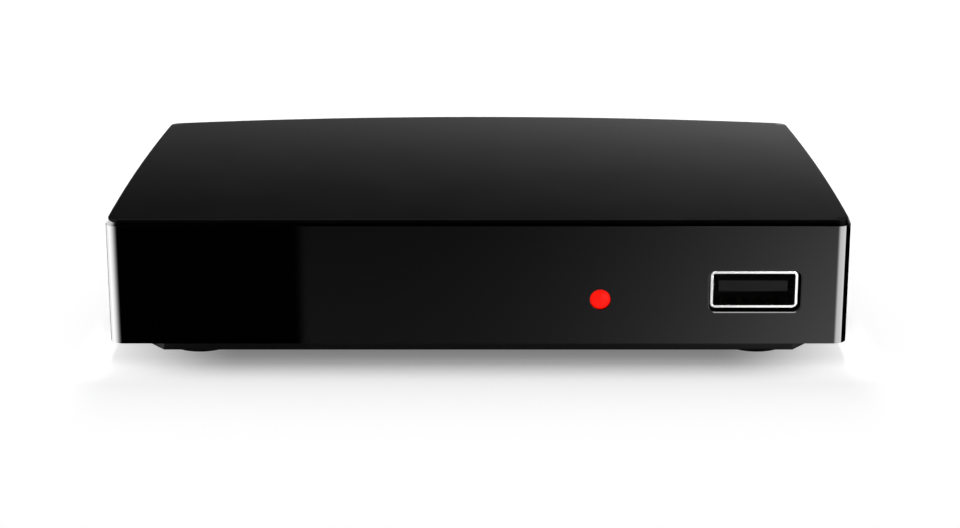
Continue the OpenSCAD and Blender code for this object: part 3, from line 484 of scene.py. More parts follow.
@dataclass(frozen=True)
class Moulded(Finish):
    """Moulded plastic or compound: fine spark-eroded grain, cloudy gloss and softened edges."""

    colour: Colour
    gloss: Pair
    grain: float
    relief: float
    edge: float
    cloud: float = 9.0
    tone: float = 0.25
    specular: float = 0.5

    def mix(self, bench: Bench) -> bpy.types.Material:
        """Grain from fine noise over softened edges, gloss and tone from broad noise.

        Args:
            bench: bench of its material.

        Returns:
            The mixed material.
        """
        cloud = bench.noise(self.cloud, detail=4)
        deep, pale = shaded(self.colour, 1 - self.tone), shaded(self.colour, 1 + self.tone)
        normal = bench.bump(bench.noise(self.grain, detail=3), self.relief, self.edge)
        return bench.finish(Base_Color=bench.blend(bench.spread(cloud, 0, 1), deep, pale),
                            Roughness=bench.spread(cloud, *self.gloss), Specular_IOR_Level=self.specular,
                            Normal=normal)


@dataclass(frozen=True)
class Gloss(Finish):
    """Polished plastic: nearly a mirror, with a faint moulding wave and the haze that wiping leaves."""

    colour: Colour = (0.0006, 0.0006, 0.0007)
    depth: float = 0.5
    gloss: Pair = (0.02, 0.06)
    haze: float = 5.0
    wiped: Triple = (3, 1, 1)
    wave: float = 14.0
    relief: float = 0.003
    specular: float = 0.38

    def mix(self, bench: Bench) -> bpy.types.Material:
        """Roughness and tone from wiped streaks, normals from a long low wave.

        Args:
            bench: bench of its material.

        Returns:
            The mixed material.
        """
        haze = bench.noise(self.haze, detail=5, stretch=self.wiped)
        wave = bench.noise(self.wave, detail=1)
        return bench.finish(Base_Color=bench.blend(haze, shaded(self.colour, self.depth), self.colour),
                            Roughness=bench.spread(haze, *self.gloss), Specular_IOR_Level=self.specular,
                            Normal=bench.bump(wave, self.relief))


@dataclass(frozen=True)
class Plated(Finish):
    """Plated or drawn metal: fine draw lines along one way, cloudy tarnish and softened edges."""

    colour: Colour
    gloss: Pair
    edge: float
    drawn: Triple = (1, 12, 1)
    line: float = 0.12
    relief: float = 0.002
    cloud: float = 4.0
    tarnish: float = 0.2

    def mix(self, bench: Bench) -> bpy.types.Material:
        """Draw lines from noise stretched along the metal, tarnish from broad noise.

        Args:
            bench: bench of its material.

        Returns:
            The mixed material.
        """
        lines = bench.noise(self.line, stretch=self.drawn)
        cloud = bench.spread(bench.noise(self.cloud, detail=4), 0, 1)
        normal = bench.bump(lines, self.relief, self.edge)
        return bench.finish(Base_Color=bench.blend(cloud, shaded(self.colour, 1 - self.tarnish), self.colour),
                            Metallic=1.0, Roughness=bench.spread(lines, *self.gloss), Normal=normal)


@dataclass(frozen=True)
class Lit(Finish):
    """Dyed resin of a lamp that is on: it glows all over, a little less in faint swirls."""

    colour: Colour = (0.99, 0.007, 0.0012)
    swirled: Colour = (0.93, 0.0055, 0.001)
    swirl: float = 1.2
    resin: Colour = (0.02, 0.001, 0.001)
    gloss: float = 0.3
    specular: float = 0.2
    glow: float = 1.0

    def mix(self, bench: Bench) -> bpy.types.Material:
        """Glow blended from two reds by noise, on dark glossy resin.

        Args:
            bench: bench of its material.

        Returns:
            The mixed material.
        """
        glow = bench.blend(bench.spread(bench.noise(self.swirl), 0, 1), self.swirled, self.colour)
        return bench.finish(Base_Color=(*self.resin, 1), Roughness=self.gloss,
                            Specular_IOR_Level=self.specular, Emission_Color=glow,
                            Emission_Strength=self.glow)


@dataclass(frozen=True)
class Laminate(Finish):
    """Circuit board: green solder mask over copper that stands a little proud."""

    mask: Colour = (0.008, 0.085, 0.03)
    covered: Colour = (0.02, 0.16, 0.055)
    pitch: float = 1.6
    pad_edge: Pair = (0.22, 0.3)
    pad_height: float = 0.02
    weave: float = 0.4
    gloss: Pair = (0.28, 0.42)

    def mix(self, bench: Bench) -> bpy.types.Material:
        """Square pads round the points of cell noise, gloss from a fine weave.

        Args:
            bench: bench of its material.

        Returns:
            The mixed material.
        """
        cells = bench.add("ShaderNodeTexVoronoi", {"Vector": bench.place, "Scale": 1 / (self.pitch * MM)},
                          distance="CHEBYCHEV", feature="F1")
        copper = bench.spread(cells.outputs["Distance"], 1, 0, *self.pad_edge)
        return bench.finish(Base_Color=bench.blend(copper, self.mask, self.covered),
                            Roughness=bench.spread(bench.noise(self.weave), *self.gloss),
                            Normal=bench.bump(copper, self.pad_height))


SATIN_COVER = Moulded("satin_cover", (0.0022, 0.0022, 0.0024), (0.117, 0.123), grain=0.18, relief=0.0006,
                      edge=0.0)
GLOSS_FASCIA = Gloss("gloss_fascia")
TRAY_PLASTIC = Moulded("tray_plastic", (0.004, 0.004, 0.0042), (0.4, 0.5), grain=0.3, relief=0.008, edge=0.25,
                       specular=0.28)
PANEL_PLASTIC = Moulded("panel_plastic", (0.006, 0.006, 0.0063), (0.42, 0.52), grain=0.3, relief=0.012,
                        edge=0.15)
FOOT_RUBBER = Moulded("foot_rubber", (0.012, 0.012, 0.012), (0.7, 0.85), grain=0.12, relief=0.012, edge=0.0,
                      specular=0.3)
JACK_PLASTIC = Moulded("jack_plastic", (0.009, 0.009, 0.0095), (0.35, 0.5), grain=0.2, relief=0.006,
                       edge=0.12)
TONGUE_PLASTIC = Moulded("tongue_plastic", (0.008, 0.008, 0.0085), (0.42, 0.52), grain=0.15, relief=0.004,
                         edge=0.1, specular=0.16)
IVORY_INSULATOR = Moulded("ivory_insulator", (0.62, 0.58, 0.48), (0.4, 0.55), grain=0.2, relief=0.004,
                          edge=0.1, tone=0.08)
CHIP_COMPOUND = Moulded("chip_compound", (0.014, 0.014, 0.015), (0.5, 0.62), grain=0.08, relief=0.006,
                        edge=0.08)
RECEIVER_EPOXY = Moulded("receiver_epoxy", (0.004, 0.003, 0.004), (0.12, 0.2), grain=0.6, relief=0.002,
                         edge=0.15)
THERMAL_PAD = Moulded("thermal_pad", (0.27, 0.3, 0.33), (0.75, 0.85), grain=0.15, relief=0.02, edge=0.1)
FERRITE = Moulded("ferrite", (0.04, 0.04, 0.042), (0.55, 0.7), grain=0.1, relief=0.015, edge=0.15)
CERAMIC = Moulded("ceramic", (0.42, 0.27, 0.13), (0.4, 0.5), grain=0.1, relief=0.004, edge=0.06, tone=0.12)
SLEEVE = Moulded("sleeve", (0.02, 0.03, 0.07), (0.22, 0.32), grain=0.8, relief=0.004, edge=0.3)
FIN_ANODISED = Plated("fin_anodised", (0.035, 0.036, 0.04), (0.35, 0.5), edge=0.1, drawn=(1, 20, 1))
SHELL_NICKEL = Plated("shell_nickel", (0.92, 0.92, 0.92), (0.12, 0.2), edge=0.0, tarnish=0.08)
BARREL_NICKEL = Plated("barrel_nickel", (0.72, 0.72, 0.72), (0.13, 0.24), edge=0.0, drawn=(10, 1, 10))
TIN_PLATE = Plated("tin_plate", (0.66, 0.67, 0.68), (0.26, 0.42), edge=0.1, drawn=(12, 1, 1))
LEAD_TIN = Plated("lead_tin", (0.68, 0.69, 0.7), (0.2, 0.35), edge=0.05)
SCREW_STEEL = Plated("screw_steel", (0.42, 0.43, 0.45), (0.22, 0.36), edge=0.12, drawn=(4, 4, 4))
CONTACT_GOLD = Plated("contact_gold", (0.83, 0.6, 0.24), (0.14, 0.24), edge=0.05, tarnish=0.12)
LAMP_RED = Lit("lamp_red")
BOARD_LAMINATE = Laminate("board_laminate")


# The receiver


@dataclass(frozen=True)
class CasePlan:
    """Plan of the box: straight front, barely bowed sides, long rear arc and four rounded corners."""

    width: float = 112.8
    depth: float = 77.4
    side_bow: float = 0.7
    rear_radius: float = 262.0
    rear_lift: float = 0.2
    front_corner: float = 2.3
    rear_corner: float = 2.4
    least_corner: float = 0.05
    front_steps: int = 12
    corner_steps: int = 14
    side_steps: int = 14
    tail_steps: int = 3
    rear_steps: int = 40

    @property
    def front(self) -> float:
        """Depth of the front face."""
        return -self.depth / 2

    @property
    def side_radius(self) -> float:
        """Radius of the bowed sides, from their chord and rise: (c^2 + b^2) / 2 b."""
        return ((self.depth / 2) ** 2 + self.side_bow ** 2) / (2 * self.side_bow)

    @property
    def side_centre(self) -> np.ndarray:
        """Centre of the right side's arc."""
        return np.array([self.width / 2 - self.side_radius, 0.0])

    @property
    def rear_centre(self) -> np.ndarray:
        """Centre of the rear arc."""
        return np.array([0.0, self.depth / 2 + self.rear_lift - self.rear_radius])

    @property
    def front_count(self) -> int:
        """How many of a half's points lie before the split."""
        return self.front_steps + self.corner_steps + self.side_steps

    def side_x(self, inset: float, y: np.ndarray | float) -> np.ndarray | float:
        """Distance of the right side from the middle at a depth."""
        return self.side_centre[0] + np.sqrt((self.side_radius - inset) ** 2 - y ** 2)

    def corner_centre(self, inset: float, radius: float) -> np.ndarray:
        """Centre of the right front corner, where it touches both the front and the side."""
        y = self.front + inset + radius
        return np.array([self.side_x(inset + radius, y), y])

    def rear_corner_centre(self, inset: float, radius: float) -> np.ndarray:
        """Centre of the right rear corner, where circles round the side's and the rear's centres cross.

        Args:
            inset: how far the outline is drawn in.
            radius: the corner's radius.

        Returns:
            The centre, as x and y.
        """
        near = self.side_radius - inset - radius
        far = self.rear_radius - inset - radius
        line = self.rear_centre - self.side_centre
        span = np.linalg.norm(line)
        along = (near ** 2 - far ** 2 + span ** 2) / (2 * span)
        unit = line / span
        across = np.sqrt(near ** 2 - along ** 2)
        return self.side_centre + along * unit + across * np.array([-unit[1], unit[0]])

    @staticmethod
    def arc(centre: np.ndarray, radius: float, start: float, end: float, steps: int) -> np.ndarray:
        """Points on an arc: centre + radius (cos a, sin a)."""
        turn = np.linspace(start, end, steps)
        return centre + radius * np.stack([np.cos(turn), np.sin(turn)], axis=1)

    def half(self, inset: float, split: float) -> np.ndarray:
        """Right half of the outline, drawn in, from the middle of the front to the middle of the rear.

        Args:
            inset: how far the outline is drawn in.
            split: depth at which the side's points are doubled, so that the rear can have its own height.

        Returns:
            The points, one row each. Their number doesn't depend on the inset.
        """
        small = max(self.front_corner - inset, self.least_corner)
        large = max(self.rear_corner - inset, self.least_corner)
        near = self.corner_centre(inset, small)
        far = self.rear_corner_centre(inset, large)
        start = np.arctan2(*(near - self.side_centre)[::-1])
        end = np.arctan2(*(far - self.side_centre)[::-1])
        turn = np.arctan2(*(far - self.rear_centre)[::-1])
        side = self.side_radius - inset
        middle = np.arcsin(split / side)
        straight = np.linspace(0, near[0], self.front_steps)
        return np.vstack([
            np.column_stack([straight, np.full(self.front_steps, self.front + inset)]),
            self.arc(near, small, -np.pi / 2, start, self.corner_steps),
            self.arc(self.side_centre, side, start, middle, self.side_steps),
            self.arc(self.side_centre, side, middle, end, self.tail_steps),
            self.arc(far, large, end, turn, self.corner_steps),
            self.arc(self.rear_centre, self.rear_radius - inset, turn, np.pi / 2, self.rear_steps)])

    def ring(self, inset: float, split: float) -> np.ndarray:
        """The whole outline: the right half and its mirror image run backwards."""
        right = self.half(inset, split)
        return np.vstack([right, right[::-1] * [-1, 1]])


@dataclass(frozen=True)
class TopCover:
    """The lid: a thin rim over the walls, a plug between them, a visor over the sockets and four bosses."""

    plan: CasePlan = CasePlan()
    top: float = 22.0
    rim_inset: float = 0.2
    rim_slope: float = 0.2
    rim_low: float = 21.55
    crown_flat: float = 1.5
    visor_low: float = 20.6
    visor_y: float = 28.45
    plug_inset: float = 2.15
    plug_low: float = 20.0
    edge: float = 0.05
    top_parts: Triple = (0.0, 0.5, 0.85)
    plug_parts: Triple = (1.0, 0.5, 0.0)
    boss_x: float = 48.3
    boss_ys: Pair = (-16.7, 8.3)
    boss_radius: float = 3.0
    boss_low: float = 8.05
    boss_bite: float = 0.1
    pilot_radius: float = 1.27
    pilot_depth: float = 8.0

    def lid(self) -> Surface:
        """Loft of outlines from the middle of the top, round the rim and the plug, to the underside's middle.

        Row k is an outline with its own inset and its own height. Behind the split the rim is as deep as the
        visor, and the plug ends in a straight line. The first and last rows are a point, to close each face.

        Returns:
            The closed skin.
        """
        outer = self.plan.ring(self.rim_inset, self.visor_y)
        plug = self.plan.ring(self.plug_inset, self.visor_y)
        count = self.plan.front_count
        behind = np.zeros(len(outer), bool)
        behind[count:len(outer) - count] = True
        straight = np.stack([outer[:, 0] * plug[count - 1, 0] / outer[count - 1, 0],
                             np.full(len(outer), self.visor_y)], axis=1)
        plug = np.where(behind[:, None], straight, plug)
        rim = np.where(behind, self.visor_low, self.rim_low)
        crown = self.rim_inset + self.rim_slope
        corners = np.array([[crown + self.crown_flat, self.top], [crown, self.top],
                            [self.rim_inset, self.rim_low]])
        section = eased(corners, np.array([0, self.edge, 0]))
        level = np.ones(len(outer))
        rows = [(outer * part, level * self.top) for part in self.top_parts]
        rows += [(self.plan.ring(inset, self.visor_y), level * z) for inset, z in section]
        rows += [(outer, rim), (plug, rim)]
        rows += [(plug * part, level * self.plug_low) for part in self.plug_parts]
        return skin(np.stack([np.column_stack([flat, z]) for flat, z in rows]), ring=True)

    def bosses(self) -> Surface:
        """Four turned bosses with blind pilot holes, let into the plug.

        Returns:
            Their skins as one.
        """
        root = self.plug_low + self.boss_bite
        pilot_top = self.boss_low + self.pilot_depth
        profile = np.array([[0, root], [self.boss_radius, root], [self.boss_radius, self.boss_low],
                            [self.pilot_radius, self.boss_low], [self.pilot_radius, pilot_top],
                            [0, pilot_top]])
        each = [turned(profile, (side.value * self.boss_x, y), Axis.UP, sides=32)
                for side in Side for y in self.boss_ys]
        return functools.reduce(Surface.__add__, each)

    def build(self) -> None:
        """Makes the cover."""
        make_piece("cover_shell", self.lid() + self.bosses(), SATIN_COVER, "top_cover")


@dataclass(frozen=True)
class Opening:
    """An opening in the fascia, and the cell of its wall that the opening is cut in."""

    x: float
    z: float
    half_w: float
    half_h: float
    corner: float
    lip: float
    bevel: float
    cell: Pair


@dataclass(frozen=True)
class FrontFascia:
    """The gloss front: a wall that turns round both corners, with a sloped shoulder and three tabs below."""

    plan: CasePlan = CasePlan()
    wall: float = 2.0
    low: float = 2.8
    slope_low: float = 21.05
    high: float = 21.55
    slope: float = 0.2
    eases: tuple[float, ...] = (0.02, 0, 0, 0.015, 0.01, 0.1, 0, 0, 0.15)
    ease_steps: int = 6
    return_y: float = -32.7
    return_start: float = 0.6
    return_middle: float = -34.0
    corner_steps: int = 16
    bare_columns: Triple = (-36, -18, 0)
    band: Pair = (6.5, 15.5)
    band_corners: tuple[int, int] = (2, 7)
    usb: Opening = Opening(*USB_CENTRE, 6.87, 3.16, corner=1.0, lip=0.06, bevel=0.16, cell=(33.0, 50.0))
    lamp: Opening = Opening(*LAMP_CENTRE, 1.56, 1.56, corner=1.56, lip=0.06, bevel=0.05, cell=(14.0, 22.7))
    lip_steps: int = 6
    bevel_tilt: float = 7.1
    bevel_rings: Marks = (1.06, 1, 0.94, 0.06)
    seam_ease: float = 0.12
    tab_size: Triple = (8.0, 1.3, 1.6)
    tab_pitch: float = 30.0
    tab_ease: float = 0.1
    tab_bite: float = 0.1
    tab_flat: float = 0.001

    def section(self) -> np.ndarray:
        """Closed section of the wall, as inset and height, with eased corners.

        Returns:
            The points, one row each.
        """
        corners = np.array([[0, self.low], [0, self.band[0]], [0, self.band[1]], [0, self.slope_low],
                            [self.slope, self.high], [self.wall, self.high], [self.wall, self.band[1]],
                            [self.wall, self.band[0]], [self.wall, self.low]])
        return eased(corners, np.array(self.eases), self.ease_steps)

    def across(self) -> np.ndarray:
        """Sideways places of the columns on the straight front, with a pair round each opening."""
        edge = self.plan.corner_centre(0, self.plan.front_corner)[0]
        return np.array([-edge, *self.bare_columns, *self.lamp.cell, *self.usb.cell, edge])

    def path(self, inset: float) -> np.ndarray:
        """The front's path at an inset: left return, left corner, straight front, right corner, right return.

        The corners are arcs round one centre, so the columns of all insets lie side by side.

        Args:
            inset: how far the path lies inside the outer face.

        Returns:
            The points, as x and y.
        """
        radius = max(self.plan.front_corner - inset, self.plan.least_corner)
        centre = self.plan.corner_centre(inset, radius)
        corner = self.plan.arc(centre, radius, -np.pi / 2, 0, self.corner_steps)
        y = np.array([centre[1] + self.return_start, self.return_middle, self.return_y - self.seam_ease,
                      self.return_y])
        side = np.stack([self.plan.side_x(inset, y), y], axis=1)
        right = np.vstack([corner[1:], side])
        x = self.across()
        straight = np.stack([x, np.full(len(x), self.plan.front + inset)], axis=1)
        return np.vstack([(right * [-1, 1])[::-1], straight, right])

    def wall_skin(self) -> Surface:
        """The section carried along the path, closed at both ends, with a cell left out round each opening.

        Returns:
            The wall's skin, open only at those cells.
        """
        section = self.section()
        paths = np.stack([self.path(inset) for inset in section[:, 0]])
        rows = np.concatenate([paths, np.broadcast_to(section[:, 1:, None], (*paths.shape[:2], 1))], axis=-1)
        middle = np.array([self.wall / 2, (self.low + self.high) / 2])
        half = np.array([self.wall / 2, (self.high - self.low) / 2])
        drawn = middle + (section - middle) * (1 - self.seam_ease / half)
        ends = np.stack([np.column_stack([self.path(inset)[[0, -1]], [z, z]]) for inset, z in drawn])
        rows[:, [0, -1]] = ends
        centre = np.broadcast_to(ends.mean(axis=0), (len(section), 2, 3))
        rows = np.concatenate([centre[:, :1], rows, centre[:, 1:]], axis=1)
        kept = np.ones((len(section), rows.shape[1] - 1), bool)
        first = (rows.shape[1] - len(self.across())) // 2
        faces = [self.ease_steps * corners - 1 for corners in self.band_corners]
        for opening in (self.lamp, self.usb):
            column = first + int(np.argmin(np.abs(self.across() - opening.cell[0])))
            kept[faces, column] = False
        return skin(rows, loop=True, kept=kept)

    def pierced(self, opening: Opening, steps: int = 12) -> Surface:
        """Fills a cell round its opening: the cell's corners fan to the lip, which runs through the wall.

        The lip is a quarter round, out = l (1 - sin a) and back = l (1 - cos a), on both faces, and a bevel
        at a slight tilt leads to it from the front.

        Args:
            opening: the opening.
            steps: points in each quadrant of its outlines.

        Returns:
            The skin that fills the cell.
        """
        out, back = quarter_round(opening.lip, self.lip_steps)
        fall = np.tan(np.radians(self.bevel_tilt))
        drawn = opening.bevel * np.array(self.bevel_rings)
        sunk = np.maximum(opening.bevel - drawn, 0) * fall
        front, rear = self.plan.front, self.plan.front + self.wall
        depth = np.concatenate([front + sunk, front + opening.bevel * fall + back, rear - back[::-1]])
        grow = np.concatenate([opening.lip + drawn, out, out[::-1]])
        rings = rounded_rings(opening.half_w, opening.half_h, opening.corner, grow, steps)
        rows = upright(rings, depth, (opening.x, opening.z))
        left, right = opening.cell
        low, high = self.band
        fan = np.repeat(np.array([[right, high], [left, high], [left, low], [right, low]]), steps, axis=0)
        rim = upright(np.stack([fan, fan]), np.array([front, rear]), (0, 0))
        return skin(np.concatenate([rim[:1], rows, rim[1:]]), ring=True)

    def tabs(self) -> Surface:
        """Three eased tabs behind the lower edge: a rounded rectangle raised between two drawn-in ends.

        Returns:
            Their skins as one.
        """
        width, deep, tall = self.tab_size
        ease = self.tab_ease
        grow = np.array([-deep / 2, -ease, 0, 0, -ease, -deep / 2])
        height = self.low + np.array([0, 0, ease, tall - ease, tall, tall])
        rings = rounded_rings(width / 2, deep / 2, deep / 2 - self.tab_flat, grow, steps=4)
        y = self.plan.front + self.wall - self.tab_bite + deep / 2
        tall_rows = np.broadcast_to(height[:, None], rings.shape[:2])
        rows = np.stack([rings[..., 0], rings[..., 1] + y, tall_rows], axis=-1)
        shifts = [np.array([self.tab_pitch * i, 0, 0]) for i in (-1, 0, 1)]
        return functools.reduce(Surface.__add__, [skin(rows + shift, ring=True) for shift in shifts])

    def build(self) -> None:
        """Makes the fascia."""
        surface = self.wall_skin() + self.pierced(self.usb) + self.pierced(self.lamp) + self.tabs()
        make_piece("fascia_shell", surface, GLOSS_FASCIA, "front_fascia")


@dataclass(frozen=True)
class Base:
    """The lower shell with its rear panel, screws and rubber feet."""

    foot_x: float = 42.8
    foot_ys: Pair = (-29.5, 15.6)
    foot_radius: float = 5.0
    foot_top: float = 1.6
    foot_edge: float = 0.4
    foot_eases: tuple[float, ...] = (0, 0.15, 0.2, 0.05, 0)

    def foot(self, place: Pair) -> Surface:
        """A turned foot with an eased lower edge.

        Args:
            place: its axis, as x and y.

        Returns:
            The foot's skin.
        """
        radius, edge, top = self.foot_radius, self.foot_edge, self.foot_top
        corners = np.array([[0, 0], [radius - edge, 0], [radius, edge], [radius, top], [0, top]])
        return turned(eased(corners, np.array(self.foot_eases)), place, Axis.UP)

    def build(self) -> None:
        """Makes the feet and dresses the shell."""
        for depth, y in zip(("front", "rear"), self.foot_ys):
            for side in Side:
                name = f"foot_{depth}_{side.name.lower()}"
                pad = self.foot((side.value * self.foot_x, y))
                make_piece(f"{name}_pad", pad, FOOT_RUBBER, name)
        dress(TRAY_PLASTIC, "base_tray")
        dress(PANEL_PLASTIC, "rear_panel")
        dress(SCREW_STEEL, "case_screws")


@dataclass(frozen=True)
class UsbSocket:
    """The front socket: a plated shell round a tongue with four leaf springs."""

    centre: Pair = USB_CENTRE
    half_w: float = 6.57
    half_h: float = 2.86
    corner: float = 0.7
    wall: float = 0.4
    ease: float = 0.04
    front: float = -37.7
    rear: float = -23.7

    def shell(self) -> Surface:
        """Rounded outlines from the rear, over the sheared lip, and back inside.

        Returns:
            The shell's skin.
        """
        out, back = pressed_lip(self.wall, self.ease)
        middle = self.wall / 2
        grow = np.concatenate([[middle], out, [-middle]])
        depth = np.concatenate([[self.rear], self.front + back, [self.rear]])
        rings = rounded_rings(self.half_w - middle, self.half_h - middle, self.corner - middle, grow)
        return skin(upright(rings, depth, self.centre), ring=True, loop=True)

    def build(self) -> None:
        """Makes the shell and dresses the tongue and springs."""
        make_piece("usb_shell_skin", self.shell(), SHELL_NICKEL, "usb_shell")
        dress(TONGUE_PLASTIC, "usb_insulator")
        dress(CONTACT_GOLD, "usb_contacts")


@dataclass(frozen=True)
class StatusLamp:
    """The round lamp in the fascia and the remote receiver beside it."""

    centre: Pair = LAMP_CENTRE
    radius: float = 1.5
    tip: float = -38.6
    crown: float = 0.25
    crown_steps: int = 12
    rear: float = -33.35

    def lens(self) -> Surface:
        """A crown, r = R sin a and y = tip + R (1 - cos a) with R = (r0^2 + c^2) / 2 c, on a round barrel.

        Returns:
            The lamp's skin.
        """
        bend = (self.radius ** 2 + self.crown ** 2) / (2 * self.crown)
        turn = np.linspace(0, np.arcsin(self.radius / bend), self.crown_steps)
        dome = np.stack([bend * np.sin(turn), self.tip + bend * (1 - np.cos(turn))], axis=1)
        return turned(np.vstack([dome, [[self.radius, self.rear], [0, self.rear]]]), self.centre, Axis.BACK)

    def build(self) -> None:
        """Makes the lamp and dresses its leads and the receiver."""
        make_piece("lamp_lens", self.lens(), LAMP_RED, "status_led")
        dress(LEAD_TIN, "led_leads", "ir_leads")
        dress(RECEIVER_EPOXY, "ir_receiver")


@dataclass(frozen=True)
class RearSockets:
    """The sockets in the rear panel: aerial in and out, picture, sound and power."""

    in_centre: Pair = (-36.0, 13.75)
    out_centre: Pair = (-22.0, 13.75)
    in_radii: Pair = (5.2, 4.8)
    out_radii: Pair = (4.75, 4.2)
    collar: Pair = (5.2, 26.6)
    collar_ease: float = 0.12
    barrel_y: Pair = (21.2, 34.8)
    pin_radius: float = 1.2
    pin_end: float = 33.8
    pin_ease: float = 0.6
    picture_x: float = 2.0
    picture_low: float = 8.05
    picture_size: Pair = (15.0, 5.6)
    picture_slant: float = 1.7
    picture_waist: float = 1.9
    picture_wall: float = 0.4
    picture_ease: float = 0.45
    picture_y: Pair = (14.8, 26.3)
    sound_centre: Pair = (21.0, 11.25)
    sound_radii: Pair = (3.0, 1.8)
    sound_y: Pair = (23.8, 27.0)
    power_centre: Pair = (37.0, 14.35)
    power_radius: float = 1.05
    power_y: Pair = (14.7, 25.4)
    power_ease: float = 0.4

    def collared(self) -> np.ndarray:
        """Section of the outgoing barrel: a tube with a low collar at its root.

        Returns:
            The points, as radius and place along the axis.
        """
        tube = tube_profile(*self.out_radii, *self.barrel_y)
        radius, end = self.collar
        step = np.array([[radius, self.barrel_y[0]], [radius, end - self.collar_ease],
                         [radius - self.collar_ease, end], [self.out_radii[0], end]])
        return np.vstack([step, tube[1:]])

    def picture_rings(self, grow: np.ndarray) -> np.ndarray:
        """Outlines of the picture socket: a flat top over a narrower foot, with eased corners.

        Args:
            grow: how far each outline lies outside the first.

        Returns:
            An array of rows, points and two coordinates.
        """
        width, height = self.picture_size
        outlines = []
        for more in grow:
            half = width / 2 + more
            foot = half - self.picture_slant
            corners = np.array([[-half, self.picture_waist], [-foot, -more], [foot, -more],
                                [half, self.picture_waist], [half, height + more], [-half, height + more]])
            outlines.append(eased(corners, self.picture_ease + more / 2))
        return np.stack(outlines)

    def picture_shell(self) -> Surface:
        """The outlines from the front end, over the rolled lip at the rear, and back inside.

        Returns:
            The shell's skin.
        """
        out, back = half_round(self.picture_wall)
        front, end = self.picture_y
        grow = np.concatenate([[0], out - self.picture_wall / 2, [-self.picture_wall]])
        depth = np.concatenate([[front], end - back, [front]])
        rows = upright(self.picture_rings(grow), depth, (self.picture_x, self.picture_low))
        return skin(rows, ring=True, loop=True)

    @staticmethod
    def metal(name: str, node: str, profile: np.ndarray, centre: Pair, loop: bool) -> None:
        """Makes the nickel piece of a node from its section, turned round an axis that points back."""
        surface = turned(profile, centre, Axis.BACK, loop)
        make_piece(name, surface, BARREL_NICKEL, node)

    def build(self) -> None:
        """Makes the metal of the sockets and dresses what they hold."""
        in_tube = tube_profile(*self.in_radii, *self.barrel_y)
        out_rod = rod_profile(self.pin_radius, self.barrel_y[0], self.pin_end, self.pin_ease)
        bushing = tube_profile(*self.sound_radii, *self.sound_y)
        power_rod = rod_profile(self.power_radius, *self.power_y, self.power_ease)
        self.metal("antenna_in_tube", "antenna_in_barrel", in_tube, self.in_centre, loop=True)
        self.metal("antenna_out_tube", "antenna_out_barrel", self.collared(), self.out_centre, loop=True)
        self.metal("antenna_out_rod", "antenna_out_pin", out_rod, self.out_centre, loop=False)
        make_piece("hdmi_shell_skin", self.picture_shell(), SHELL_NICKEL, "hdmi_shell")
        self.metal("av_bushing_ring", "av_jack_bushing", bushing, self.sound_centre, loop=True)
        self.metal("dc_pin_rod", "dc_jack_pin", power_rod, self.power_centre, loop=False)
        dress(IVORY_INSULATOR, "antenna_in_insulator", "antenna_out_insulator")
        dress(CONTACT_GOLD, "antenna_in_contact", "hdmi_contacts", "av_jack_spring", "dc_jack_spring")
        dress(TONGUE_PLASTIC, "hdmi_insulator")
        dress(JACK_PLASTIC, "av_jack_body", "dc_jack_body")


@dataclass(frozen=True)
class Board:
    """The circuit board and what is soldered to it."""

    finishes: tuple[tuple[Finish, tuple[str, ...]], ...] = (
        (BOARD_LAMINATE, ("main_board",)),
        (CHIP_COMPOUND, ("processor", "memory_chip", "flash_chip", "regulators", "av_driver", "tuner_chip")),
        (THERMAL_PAD, ("thermal_pad",)),
        (FIN_ANODISED, ("heatsink",)),
        (TIN_PLATE, ("crystal", "tuner_can", "tuner_lid")),
        (SLEEVE, ("bulk_capacitors",)),
        (FERRITE, ("power_inductors",)),
        (CERAMIC, ("chip_capacitors",)))

    def build(self) -> None:
        """Dresses the board's nodes."""
        for finish, nodes in self.finishes:
            dress(finish, *nodes)


# The studio


def smooth_step(value: np.ndarray, start: float, end: float) -> np.ndarray:
    """A smooth step from 0 to 1, 3 t^2 - 2 t^3 between two values."""
    t = np.clip((value - start) / (end - start), 0, 1)
    return t * t * (3 - 2 * t)


@dataclass(frozen=True)
class CornerCard:
    """An upright card bent round a front corner. Its directions are degrees from ahead to its side."""

    name: str
    side: Side
    reach: float
    rise: Pair
    span: Pair
    peak: float
    up: Pair
    off: Pair
    least: float = 0.0
    drop: float = 0.0
    down: Pair = (0.0, 180.0)

    def glow(self, way: np.ndarray) -> np.ndarray:
        """Glow by direction: a step from least to peak, times a step down by the drop and a step off."""
        lit = self.least + (self.peak - self.least) * smooth_step(way, *self.up)
        return lit * (1 - self.drop * smooth_step(way, *self.down)) * (1 - smooth_step(way, *self.off))


@dataclass(frozen=True)
class Strip:
    """A level strip lamp: the depths of its ends, and its share of the floor's light, 1 being white."""

    name: str
    start: float
    end: float
    share: float


